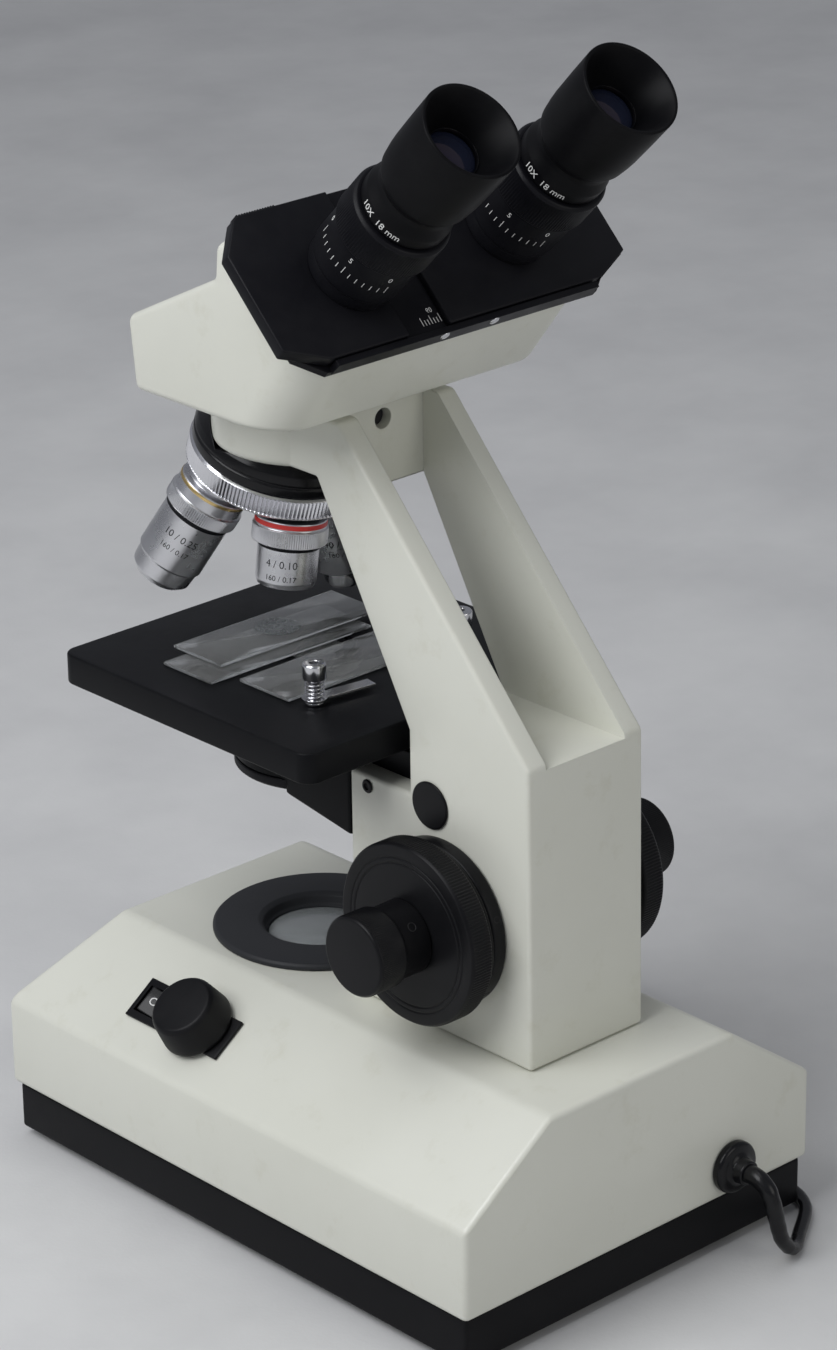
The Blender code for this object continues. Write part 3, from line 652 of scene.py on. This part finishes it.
al = math.radians(-11)
U1, N1 = RU * math.cos(al) + RN * math.sin(al), RN * math.cos(al) - RU * math.sin(al)
U2, N2 = RU * math.cos(al) - RN * math.sin(al), RN * math.cos(al) + RU * math.sin(al)
flat_text('mark_off', 'O', 4.6, on_rock(-3.9, 1.42), U1, N1.cross(U1), 'switch_rocker', M_MARK)
add(frame_box('mark_on', on_rock(3.6, 1.36), U2, SS, N2, (-1.3, 1.3), (-0.32, 0.32), (-0.1, 0.09)), 'mark_on', M_MARK, 'switch_rocker')
DO = SO + Y * DIM_Y + SS * ROCK_S
knob = rev('k', [(0, -9), (3.1, -9), (3.1, 1.9), (13.6, 1.9), (14.0, 3.0), (13.7, 5.2), (12.5, 13.8), (11.2, 15.4), (0, 15.4)], DO, SN, 160, 0.8,
           [(3.6, 13.9, 0.22)])
stand(knob, 'dimmer_knob', M_BLACK, 50)

# light outlet
ring = rev('c', [(39.8, 64.2), (39.8, 65.6), (38.8, 66.6), (23.0, 66.6), (21.2, 65.4), (20.6, 62.6), (19.6, 62.0), (19.6, 58.5), (23.6, 58.5), (23.6, 64.2)],
           (0, OPT_Y, 0), Z, 160, 0.35)
stand(ring, 'collector_ring', M_RING, 30)
stand(rev('l', [(0, 59.0), (19.2, 59.0), (19.2, 61.5), (15, 62.4), (10, 63.0), (5, 63.3), (0, 63.4)], (0, OPT_Y, 0), Z, 96, 0), 'collector_lens', M_FROST, 60)
stand(rev('s', [(0, -15.7), (14, -15.7), (14, -8), (9, -6), (9, 18), (0, 18)], (0, OPT_Y, 0), Z, 48), 'lamp_socket', M_CERAMIC)
stand(rev('u', [(0, 18.3), (4, 18.3), (6.5, 26), (6.5, 38), (5.9, 41.5), (4.0, 44.2), (0, 45)], (0, OPT_Y, 0), Z, 48, 1.0), 'lamp_bulb', M_GLASS, 60)
stand(bevel(box('x', -28, 28, -92, -42, -15.7, 26), 2.0, 3), 'transformer', M_CORE)

# ------------------------------------------------------------------ arm
ARM_W, CH_W, HEADCYL_R, KNOB_Y, KNOB_Z = 27.4, 18.8, 34.5, -68.9, 108.9
arm_pts = [(-118, 64.2), (-118, 150.5), (-87.4, 150.5), (-87.4, 174.3), (-132.5, 255), (-166.5, 255), (-166.5, 277.5),
           (-120.4, 277.5), (-28.2, 176.6), (-27.4, 64.2)]
arm = bevel(prism_x('a', arm_pts, -ARM_W, ARM_W), 1.6, 4)
boolean(arm, [rev('h', [(0, 254.7), (HEADCYL_R - 3, 254.7), (HEADCYL_R - 1.9, 254.95), (HEADCYL_R - 0.7, 255.9), (HEADCYL_R - 0.15, 257.0), (HEADCYL_R, 258), (HEADCYL_R, 282.4), (0, 282.4)],
                  (0, OPT_Y, 0), Z, 128, 0)], 'UNION')
boolean(arm, [
    box('c1', -CH_W, CH_W, -127.8, -10, 175.2, 330), box('c2', -19, 19, -130, -77.1, 76, 165.5), box('c3', -19, 19, -78, -59.5, 98, 120),
    cyl('c4', (0, OPT_Y, 0), Z, 22.8, 266, 300, 64), cyl('c5', (0, OPT_Y, 0), Z, 9.0, 240, 300, 48), cyl('c6', (0, 0, 270.8), -Y, 3.8, 120, 150, 48),
    cyl('c7', (0, KNOB_Y, KNOB_Z), X, 5.35, -40, 40, 48), cyl('c8', (0, -76.2, 149.6), X, 8.0, 24.0, 40, 48)])
stand(arm, 'arm_casting', M_WHITE, 28)
stand(rev('p', [(0, 24.4), (7.6, 24.4), (7.6, 27.7), (8.7, 27.7), (8.7, 28.2), (8.2, 28.45), (0, 28.5)], (0, -76.2, 149.6), X, 72, 0.15), 'arm_plug', M_BLACK)
lock = rev('s', [(0, 131.5), (3.4, 131.5), (3.4, 142.6), (3.0, 143.2), (0, 143.4)], (0, 0, 270.8), -Y, 48, 0.2)
stand(lock, 'neck_lock_screw', M_OXIDE_AND_HOLE_SHADE)
add(rev('a', [(0, 27.45), (2.3, 27.45), (2.6, 27.75), (2.2, 28.15), (1.3, 28.2), (1.2, 27.6), (0, 27.6)], (0, -108.5, 146.5), X, 40, 0.1), 'arm_side_screw', M_BLACK, 'arm_casting')

# ------------------------------------------------------------------ nosepiece
TILT, TURN, APEX_Z = math.radians(19.4), math.radians(22.3), 289.6
A0 = Vector((0, OPT_Y, APEX_Z))
AX = Vector((0, -math.sin(TILT), -math.cos(TILT)))
E1 = (Vector((0, 0, -1)) - AX * math.cos(TILT)).normalized()
E2 = AX.cross(E1)


def port(k):
    ph = TURN + k * math.pi / 2
    return (math.cos(TILT) * AX + math.sin(TILT) * (math.cos(ph) * E1 + math.sin(ph) * E2)).normalized()


mount = rev('m', [(0, 26), (20, 26), (28, 31), (31.8, 36.5), (32.6, 39.6), (32.1, 40.1), (32.1, 40.7), (32.6, 41.2), (32.6, 44.6), (0, 44.6)], A0, AX, 128, 0.35)
boolean(mount, [cyl('c1', (0, OPT_Y, 0), Z, HEADCYL_R + 0.4, 254.3, 330, 96), box('c2', -60, 60, OPT_Y, -60, 254.3, 330), cyl('c3', (0, OPT_Y, 0), Z, 8.0, 200, 300, 48)])
stand(mount, 'nosepiece_mount', M_GLOSS, 30)
M_TURRET = metal('turret_chrome', (0.74, 0.74, 0.77), 0.14, AX, 0.15)
tur = rev('t', [(0, 45), (32.0, 45), (33.2, 46), (33.2, 53.4), (31.2, 55.2), (26, 57.6), (20.6, 59.6), (14, 61.5), (0, 63)], A0, AX, 280, 0.3, [(46.1, 53.4, 0.75)])
stand(tur, 'turret', M_TURRET, 60)
TOWARD = D(0.62481, 0.68070, 0.38245)


def satin(k):
    return metal('objective_satin_%d' % k, (0.68, 0.68, 0.70), 0.24, port(k), 0.35, 0.1)


S4, S10, S40 = satin(0), satin(1), satin(3)
o4 = rev('o', [(0, 63.4), (12.9, 63.4), (12.9, 66.2), (13.6, 66.6), (13.6, 72.4), (11.1, 72.8), (11.1, 76), (11.0, 86.6), (10.3, 88.5), (5, 88.5), (3.5, 86), (0, 86)], A0, port(0), 200, 0.3, [(66.7, 72.3, 0.32)])
stand(o4, 'objective_4x', S4, 40)
o10 = rev('o', [(0, 63.4), (10.5, 63.4), (10.5, 65.0), (13.2, 65.4), (13.2, 71.0), (14.0, 71.4), (14.0, 76.4), (12.5, 76.8), (12.5, 98.3), (11.8, 98.9), (11.3, 105), (9.0, 107.4), (4, 107.4), (3, 105), (0, 105)], A0, port(1), 200, 0.3, [(71.5, 76.3, 0.32)])
stand(o10, 'objective_10x', S10, 40)
o40 = rev('o', [(0, 63.4), (10.5, 63.4), (10.5, 65.0), (12.6, 65.4), (12.6, 70.6), (13.4, 71.0), (13.4, 76.0), (11.8, 76.4), (11.8, 100.3), (9.9, 101.2), (7.6, 101.2), (7.6, 93.0), (0, 93.0)], A0, port(3), 200, 0.3, [(71.1, 75.9, 0.32)])
stand(o40, 'objective_40x', S40, 40)
stand(rev('n', [(0, 96.2), (7.25, 96.2), (7.25, 109.6), (6.0, 112.0), (2.2, 112.0), (1.6, 110.6), (0, 110.6)], A0, port(3), 64, 0.3), 'objective_40x_nose', M_CHROME, 40)
stand(rev('p', [(0, 63.4), (9.8, 63.4), (9.8, 71.5), (8.8, 73.2), (0, 73.2)], A0, port(2), 96, 0.5), 'port_plug', M_BLACK)


def band(name, k, r, h0, h1, mat, node):
    return add(rev(name, [(r - 0.4, h0), (r, h0), (r, h1), (r - 0.4, h1)], A0, port(k), 120, 0.05), name, mat, node)


band('band_4x', 0, 13.02, 63.9, 65.6, M_RED, 'objective_4x')
band('band_10x', 1, 13.35, 65.9, 67.1, M_GOLD, 'objective_10x')
band('band_10x_dark', 1, 12.6, 77.0, 78.6, M_SATIN, 'objective_10x')
band('band_4x_dark', 0, 11.2, 72.9, 74.3, M_SATIN, 'objective_4x')
band('band_40x', 3, 12.7, 66.2, 67.6, metal('blue_band', (0.10, 0.22, 0.55), 0.25), 'objective_40x')
for k, r, node, l1, l2, hh in ((0, 11.05, 'objective_4x', '4 / 0.10', '160 / 0.17', 80.5), (1, 12.5, 'objective_10x', '10 / 0.25', '160 / 0.17', 86.5), (3, 11.8, 'objective_40x', '40 / 0.65', '160 / 0.17', 86.5)):
    tw = (TOWARD + X * (0.25 if k == 0 else -0.10)).normalized()
    wrap_text('figure_%da' % k, l1, 3.9, A0, port(k), r, hh - 1.2, tw, node, M_INK, -1.0)
    wrap_text('figure_%db' % k, l2, 2.9, A0, port(k), r, hh + 4.0, tw, node, M_INK, -1.0)

# ------------------------------------------------------------------ binocular head
EYE_X, EYE_W, EYE_V = 35.8, 249.8, 311.8
EW, EV = D(0, 1, 1), D(0, -1, 1)
Q = math.sqrt(0.5)


def H(x, v, w):
    return P(x, (w - v) * Q, (w + v) * Q)


def Hm(x, v, w):
    return Vector((x, (w - v) * Q, (w + v) * Q))


def yz(v, w):
    return ((w - v) * Q, (w + v) * Q)


def hplate(name, outline, w0, w1):
    return hull_rings(name, [[H(x, v, w0) for x, v in outline], [H(x, v, w1) for x, v in outline]])


hp = [(-184.5, 282.8), (-187.5, 309), (-140.5, 332.5), (-139.5, 345), yz(337, 157.2), yz(283, 157.2), (-111, 282.8)]
head = prism_x('h', hp, -64, 64)
zlo, zhi = P(0, 0, 282.8).z, P(*([0] + list(yz(283, 157.2)))).z
bevel_edges(head, lambda a, b: abs(a.x - b.x) < 1e-6 and abs(a.x) > 0.06 and a.y > P(0, -112, 0).y and b.y > P(0, -112, 0).y
            and min(a.z, b.z) < zlo + 0.001 and max(a.z, b.z) < zhi + 0.001, 16, 12)
bevel(head, 3.0, 5, 35)
boolean(head, [cyl('b', (0, OPT_Y, 0), Z, 22.4, 267, 286, 64)], 'UNION')
boolean(head, [
    prism_x('c', [(-179, 288), (-181, 304), (-134, 327.5), yz(330, 157.2), yz(330, 172), yz(291, 172), yz(291, 157.2), (-115, 288)], -57, 57),
    cyl('c2', (0, OPT_Y, 0), Z, 9.0, 250, 300, 48)])
stand(head, 'head_housing', M_WHITE, 26)
prism = prism_x('p', [(-178, 291), (-178, 303), (-136, 323), (-125, 323), (-118, 291)], -52, 52)
boolean(prism, [cyl('c2', (0, OPT_Y, 0), Z, 7.0, 280, 297, 48)])
stand(prism, 'prism_block', M_GLASS)
rail = boolean(hplate('r', [(-62, 281.4), (62, 281.4), (72, 289.5), (72, 330), (62, 338.5), (-62, 338.5), (-72, 330), (-72, 289.5)], 157.5, 160.2),
               [hplate('u', [(-60, 281.0), (60, 281.0), (60, 283.3), (-60, 283.3)], 159, 164.6)], 'UNION')
boolean(rail, [hplate('c', [(-52, 297), (52, 297), (52, 327), (-52, 327)], 150, 170)])
stand(rail, 'face_rail', M_SATIN)
VB, VT = 283.8, 341.5
half = lambda s: [(s * 62.0, VB), (s * 78.5, 291.0), (s * 78.5, 328.5), (s * 68.7, 340.3), (s * 66.0, VT)]
pl = boolean(bevel(hplate('pl', [(-2, VB)] + half(1) + [(-2, VT)], 160.5, 165.6), 0.6, 3), [hplate('c', [(-9, 270), (27.5, 270), (27.5, 350), (-9, 350)], 163.0, 172)])
pr_ = boolean(bevel(hplate('pr', [(8.8, VB)] + half(-1) + [(8.8, VT)], 160.5, 165.6), 0.6, 3), [hplate('c', [(-20, 270), (15, 270), (15, 350), (-20, 350)], 150, 163.3)])
FRONT = D(0.62481, 0.68070, 0.38245)
for s, nm, plate in ((1, 'left', pl), (-1, 'right', pr_)):
    o = Hm(s * EYE_X, EYE_V, 0)
    boolean(plate, [cyl('c', o, EW, 13.3, 150, 180, 96)])
    stand(plate, 'tube_plate_' + nm, M_SATIN, 30)
    stand(rev('e', [(11.8, 161.2), (13.0, 161.2), (13.0, 165.9), (15.9, 165.9), (15.9, 171.7), (13.0, 171.7), (13.0, 202.8), (11.8, 202.8)], o, EW, 128, 0.4),
          'eyetube_' + nm, M_SATIN, 30)
    stand(rev('d', [(13.3, 172.0), (16.8, 172.0), (17.0, 173.0), (17.0, 189.2), (18.2, 190.4), (18.2, 202.6), (17.2, 203.6), (13.3, 203.6)], o, EW, 220, 0.35,
              [(190.5, 202.4, 0.28)]), 'diopter_ring_' + nm, M_SATIN, 45)
    e = [(18.0, 0), (17.85, 12), (17.6, 22), (17.35, 25.5), (16.7, 30.5), (15.6, 32.8), (14.7, 34), (14.7, 36.5), (15.3, 38.6), (16.2, 41.0), (16.2, 45.4),
         (11.5, 45.8), (11.5, 70), (9.4, 70), (9.4, 13.5), (12.2, 7.5), (15.4, 2.0), (16.9, 0)]
    stand(rev('y', [(r, EYE_W - q) for r, q in e], o, EW, 160, 0.5), 'eyepiece_' + nm, M_EYE, 50)
    stand(rev('v', [(r, EYE_W - q) for r, q in ((0, 13.0), (3, 13.1), (6, 13.5), (8, 14.1), (9.1, 14.6), (9.1, 18), (0, 18))], o, EW, 64, 0), 'eye_lens_' + nm, M_LENS, 60)
    add(rev('i', [(9.15, EYE_W - 14.2), (9.35, EYE_W - 14.2), (9.35, EYE_W - 12.6), (9.15, EYE_W - 12.6)], o, EW, 64, 0), 'lens_seat_' + nm, M_GLOSS, 'eyepiece_' + nm)
    ticks('scale_%s' % nm, o, EW, 17.0, 179.4, -56, 56, 13, FRONT, 'diopter_ring_' + nm, M_MARK, 3.4, 2.2, 6, 0.24)
    for a_, tx in ((-58, '0'), (0, '5'), (52, '0')):
        u0 = (FRONT - EW * FRONT.dot(EW)).normalized()
        u1 = EW.cross(u0)
        aa = math.radians(a_)
        wrap_text('scale_figure_%s_%d' % (nm, a_ + 60), tx, 3.0, o, EW, 17.0, 186.4, u0 * math.cos(aa) + u1 * math.sin(aa), 'diopter_ring_' + nm, M_MARK)
    wrap_text('power_' + nm, '10X  18 mm', 3.6, o, EW, 16.2, EYE_W - 43.2, (FRONT + X * (0.30 if s > 0 else -0.1)).normalized(), 'eyepiece_' + nm, M_MARK)
# finger grips on the two outer ends of the slides, fine upright ribs
for nm, x0, x1, v0, node in (('grip_left', 50.0, 66.0, 340.9, 'tube_plate_left'), ('grip_right', -74.5, -58.0, 0, 'tube_plate_right')):
    bm = bmesh.new()
    n = 15
    for i in range(n):
        f = i / (n - 1)
        if nm == 'grip_left':
            x, v = x0 + (x1 - x0) * f, 341.5
            d0, d1 = Vector((1, 0)), Vector((0, 1))
        else:
            x, v = -62.0 - 14.0 * f, 283.8 + 6.3 * f
            d0, d1 = Vector((-0.911, 0.412)), Vector((-0.412, -0.911))
        q = []
        for w in (160.9, 165.2):
            for a_, b_ in ((-0.32, -0.1), (0.32, -0.1), (0.16, 0.38), (-0.16, 0.38)):
                c2 = Vector((x, v)) + d0 * a_ + d1 * b_
                q.append(bm.verts.new(H(c2.x, c2.y, w)))
        for fc in ((0, 1, 2, 3), (4, 5, 6, 7), (0, 1, 5, 4), (1, 2, 6, 5), (2, 3, 7, 6), (3, 0, 4, 7)):
            bm.faces.new([q[k] for k in fc])
    add(from_bm(nm, bm), nm, M_SATIN, node)
# eye-distance scale, and the two small screws on the lip
for i in range(7):
    x = 9.6 + i * 1.35
    L = 3.2 if i % 3 == 0 else 2.0
    add(hplate('q', [(x - 0.13, 286.2), (x + 0.13, 286.2), (x + 0.13, 286.2 + L), (x - 0.13, 286.2 + L)], 163.0, 165.66 if x < 8.8 else 163.08), 'distance_mark_%d' % i, M_MARK, 'tube_plate_left')
flat_text('distance_figure', '60', 2.6, Hm(12.2, 291.4, 163.0), X * -1.0, EV * -1.0, 'tube_plate_left', M_MARK)
for i, x in enumerate((11.4, -11.4)):
    c = Hm(x, 282.3, 164.55)
    add(rev('s', [(0, -1.2), (1.9, -1.2), (1.9, 0.1), (1.5, 0.42), (0.35, 0.5), (0.3, 0.2), (0, 0.2)], Vector((x, *yz(281.0, 162.6))), -EV, 40, 0.1), 'lip_screw_%d' % i, M_CHROME, 'face_rail')

# ------------------------------------------------------------------ focusing
FO = (0, KNOB_Y, KNOB_Z)
sh = rev('s', [(3.1, -43), (5.0, -43), (5.0, -6), (8.2, -6), (8.2, 6), (5.0, 6), (5.0, 43), (3.1, 43)], FO, X, 32, 0, [(-7, 7, 1.0)])
stand(sh, 'coarse_shaft', M_STEEL, 30)
stand(cyl('f', FO, X, 2.8, -56, 56, 48), 'fine_shaft', M_STEEL)
for s, nm in ((1, 'left'), (-1, 'right')):
    prof = [(5.3, 34.3), (30.5, 34.3), (31.4, 34.9), (31.4, 36.6), (32.6, 36.9), (33.5, 37.6), (33.5, 45.4), (32.6, 46.5), (28.6, 46.6), (28.4, 46.35), (28.0, 46.35), (27.8, 46.6),
            (26.6, 46.6), (26.4, 46.35), (26.0, 46.35), (25.8, 46.6), (3.2, 46.6), (3.2, 43.4), (5.3, 43.4)]
    c = rev('c', [(r, s * q) for r, q in prof], FO, X, 360, 0.3, [(37.3, 45.8, 0.32), (-45.8, -37.3, 0.32)])
    stand(c, 'coarse_knob_' + nm, M_BLACK, 50)
    f = rev('f', [(r, s * q) for r, q in ((3.1, 47.0), (13.4, 47.0), (13.4, 58.6), (14.6, 59.4), (14.7, 60.2), (14.7, 70.4), (13.9, 71.3), (13.0, 71.4), (0, 71.4), (0, 57), (3.1, 57))], FO, X, 240, 0.5,
            [(60.0, 70.6, 0.22), (-70.6, -60.0, 0.22)])
    stand(f, 'fine_knob_' + nm, M_BLACK, 50)
    # set-screw hole in the hub: a dark disc flush with the hub, painted shade standing in for the hole
    hd = D(0, 0.75, 0.66)
    add(rev('h', [(0, 13.2), (1.7, 13.2), (1.7, 13.5), (1.45, 13.52), (1.3, 13.25), (0, 13.25)], Vector(FO) + X * s * 53.0, hd, 32, 0.05), 'hub_hole_painted_shade_' + nm, M_OXIDE_AND_HOLE_SHADE, 'fine_knob_' + nm)
ten = rev('t', [(5.4, 27.9), (30.0, 27.9), (30.6, 28.6), (30.6, 33.2), (29.8, 33.9), (5.4, 33.9)], FO, X, 160, 0.4)
stand(ten, 'tension_ring', M_BLACK)
# six dark discs on the ring, painted shade standing in for its holes
for i in range(6):
    a_ = math.radians(20 + 60 * i)
    dd = Vector((0, math.cos(a_), math.sin(a_)))
    add(rev('h', [(0, 30.2), (1.2, 30.2), (1.2, 30.66), (1.0, 30.68), (0.9, 30.3), (0, 30.3)], Vector(FO) + X * 30.9, dd, 24, 0), 'tension_hole_painted_shade_%d' % i, M_OXIDE_AND_HOLE_SHADE, 'tension_ring')

# ------------------------------------------------------------------ stage
STG_X, STG_R, STG_F, STG_Z, STG_T = 67.9, -94.1, -227.5, 174.4, 11.5
cpts = [(-95.6, 112), (-95.6, 160), (-78.3, 160)]
z = 158.0
while z > 116:
    cpts += [(-78.3, z), (-77.5, z - 0.6), (-77.5, z - 1.4), (-78.3, z - 2.0)]
    z -= math.pi
cpts += [(-78.3, 112)]
stand(prism_x('f', cpts, -18.6, 18.6), 'focus_carriage', M_STAGE, 20)
br = bevel(prism_x('b', [(-172, 162.5), (-172, 132.0), (-160, 130.2), (-118.5, 123.8), (-118.5, 162.5)], -27, 27), 1.5, 4)
boolean(br, [cyl('u', (0, OPT_Y, 0), Z, 29.6, 135.0, 162.1, 96), box('u2', -18.6, 18.6, -122, -96, 125, 160.2)], 'UNION')
boolean(br, [cyl('c', (0, OPT_Y, 0), Z, 24.3, 110, 175, 80), cyl('c2', (0, OPT_Y, 0), Z, 30.4, 110, 134.7, 96)])
stand(br, 'stage_bracket', M_STAGE, 28)
st = box('s', -STG_X, STG_X, STG_F, STG_R, STG_Z - STG_T, STG_Z)
bevel_edges(st, lambda a, b: abs(a.z - b.z) > 0.005, 6.0, 10)
bevel(st, 0.8, 3, 60)
boolean(st, [cyl('c', (0, OPT_Y, 0), Z, 15.6, 150, 190, 96)])
stand(st, 'stage_plate', M_STAGE, 28)
stand(rev('c', [(0, 135.1), (23.9, 135.1), (23.9, 157.5), (15.1, 158.2), (15.1, 172.6), (14.2, 173.6), (12.4, 173.6), (8, 173.0), (0, 172.8)], (0, OPT_Y, 0), Z, 96, 0.3), 'condenser', M_SATIN)
add(rev('l', [(0, 172.85), (8.4, 173.1), (10.6, 173.66), (10.6, 173.8), (7, 174.0), (0, 174.1)], (0, OPT_Y, 0), Z, 64, 0), 'condenser_lens', M_GLASS, 'condenser', 60)
stand(rev('i', [(9, 130.4), (28.8, 130.4), (30.0, 131.4), (30.0, 134.0), (29.5, 134.4), (9, 134.4)], (0, OPT_Y, 0), Z, 240, 0.3, [(131.2, 134.2, 0.25)]), 'iris_ring', M_SATIN, 50)
for s, nm in ((1, 'left'), (-1, 'right')):
    cx, cy = s * 35.0, -127.0
    stand(rev('p', [(0, STG_Z + GAP), (3.6, STG_Z + GAP), (3.6, 175.7), (2.2, 175.9), (2.2, 184.0), (4.3, 184.2), (4.3, 189.4), (3.8, 190.1), (1.9, 190.2), (1.6, 189.9), (1.6, 187), (0, 187)],
              (cx, cy, 0), Z, 80, 0.25), 'clip_post_' + nm, M_CHROME, 40)
    an = math.radians(172) if s > 0 else math.radians(8)
    d = Vector((math.cos(an), math.sin(an), 0))
    n = Vector((-d.y, d.x, 0))
    bl = cyl('b', (cx, cy, 0), Z, 4.6, 176.2, 177.0, 64)
    boolean(bl, [frame_box('u', (cx, cy, 176.2), d, n, Z, (0.5, 24), (-2.6, 2.6), (0, 0.8))], 'UNION')
    boolean(bl, [cyl('c', (cx, cy, 0), Z, 2.6, 170, 180, 48)])
    stand(bl, 'clip_blade_' + nm, M_CHROME)
    # pressure spring round the post
    sc = bpy.data.curves.new('spring_' + nm, 'CURVE')
    sc.dimensions = '3D'
    sc.bevel_depth = 0.32 * MM
    sc.bevel_resolution = 3
    sc.use_fill_caps = True
    spl = sc.splines.new('POLY')
    N = 4 * 20
    spl.points.add(N)
    for i in range(N + 1):
        a_ = 2 * math.pi * i / 20
        spl.points[i].co = (*P(cx + 3.3 * math.cos(a_), cy + 3.3 * math.sin(a_), 177.7 + 5.9 * i / N), 1)
    so = bpy.data.objects.new('clip_spring_' + nm, sc)
    COL.objects.link(so)
    sc.materials.append(M_CHROME)
    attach(so, BODY['clip_post_' + nm])
for nm, x0, x1, y0, z0s in (('slide_low', -26.0, 50.0, -191.0, 174.7), ('slide_top', -36.6, 39.4, -198.0, 176.1), ('slide_near', -35.0, 41.0, -160.0, 174.7)):
    stand(bevel(box('g', x0, x1, y0, y0 + 26.0, z0s, z0s + 1.1), 0.12, 2), nm, M_GLASS)
    if nm == 'slide_top':
        add(rev('v', [(0, 0.02), (8.5, 0.02), (8.5, 0.14), (0, 0.14)], ((x0 + x1) / 2, y0 + 13.0, z0s + 1.1), Z, 64, 0), 'cover_slip', glass('cover_glass', (0.90, 0.93, 0.92), 0.25, dust=0.1), nm)

missing = [n for n in frame["nodes"] if n not in DONE]
if missing:
    print('nodes without a finished look:', missing)

# ------------------------------------------------------------------ floor, world, light
zf0 = P(0, 0, -22).z - 0.0002
bm = bmesh.new()
prof = [(-14.0, 0.0)] + [(1.15, 0.0)]
bs = []
q = [(14.0, 14.0), (14.0, -14.0), (-14.0, -14.0), (-14.0, 14.0)]
bm.faces.new([bm.verts.new((a_, b_, zf0)) for a_, b_ in q])
floor = from_bm('floor', bm)
mf = Mat('floor_cloth')
nb = mf.noise(9, 4, 0.6)
mf.link(mf.ramp(nb, [(0.3, (0.57, 0.57, 0.57)), (0.7, (0.66, 0.66, 0.655))]), 'Base Color')
mf.set(Roughness=0.8)
mf.bump([(mf.noise(500, 3), 0.2, 0.0004), (nb, 0.15, 0.002)], 0)
floor.data.materials.append(mf.m)


def area(name, loc, target, size, power, col=(1, 1, 1)):
    ld = bpy.data.lights.new(name, 'AREA')
    ld.shape = 'RECTANGLE'
    ld.size, ld.size_y = size
    ld.energy = power
    ld.color = col
    o = bpy.data.objects.new(name, ld)
    COL.objects.link(o)
    o.location = loc
    o.rotation_euler = (Vector(target) - Vector(loc)).to_track_quat('-Z', 'Y').to_euler()
    return o


w = bpy.data.worlds.new('world')
bpy.context.scene.world = w
w.use_nodes = True
w.node_tree.nodes['Background'].inputs['Color'].default_value = (0.88, 0.91, 1.0, 1)
w.node_tree.nodes['Background'].inputs['Strength'].default_value = 0.25
# directions in the picture: right = R[0], up = -R[1], towards the camera = -R[2]
RT, UP, TC = Vector(R[0]), -Vector(R[1]), -Vector(R[2])
mid = Vector((0, 0.0, 0.2))
area('key', (1.35, -0.15, 1.55), mid, (1.4, 1.4), 28, (0.97, 0.98, 1.0))
area('top', (0.15, -0.2, 1.9), mid, (1.2, 1.2), 5.5, (0.98, 0.99, 1.0))
area('rear_fill', (-0.35, 1.9, 0.9), mid, (1.2, 1.2), 6.0, (1.0, 0.98, 0.92))
sc = bpy.context.scene
sc.view_settings.view_transform = 'Standard'
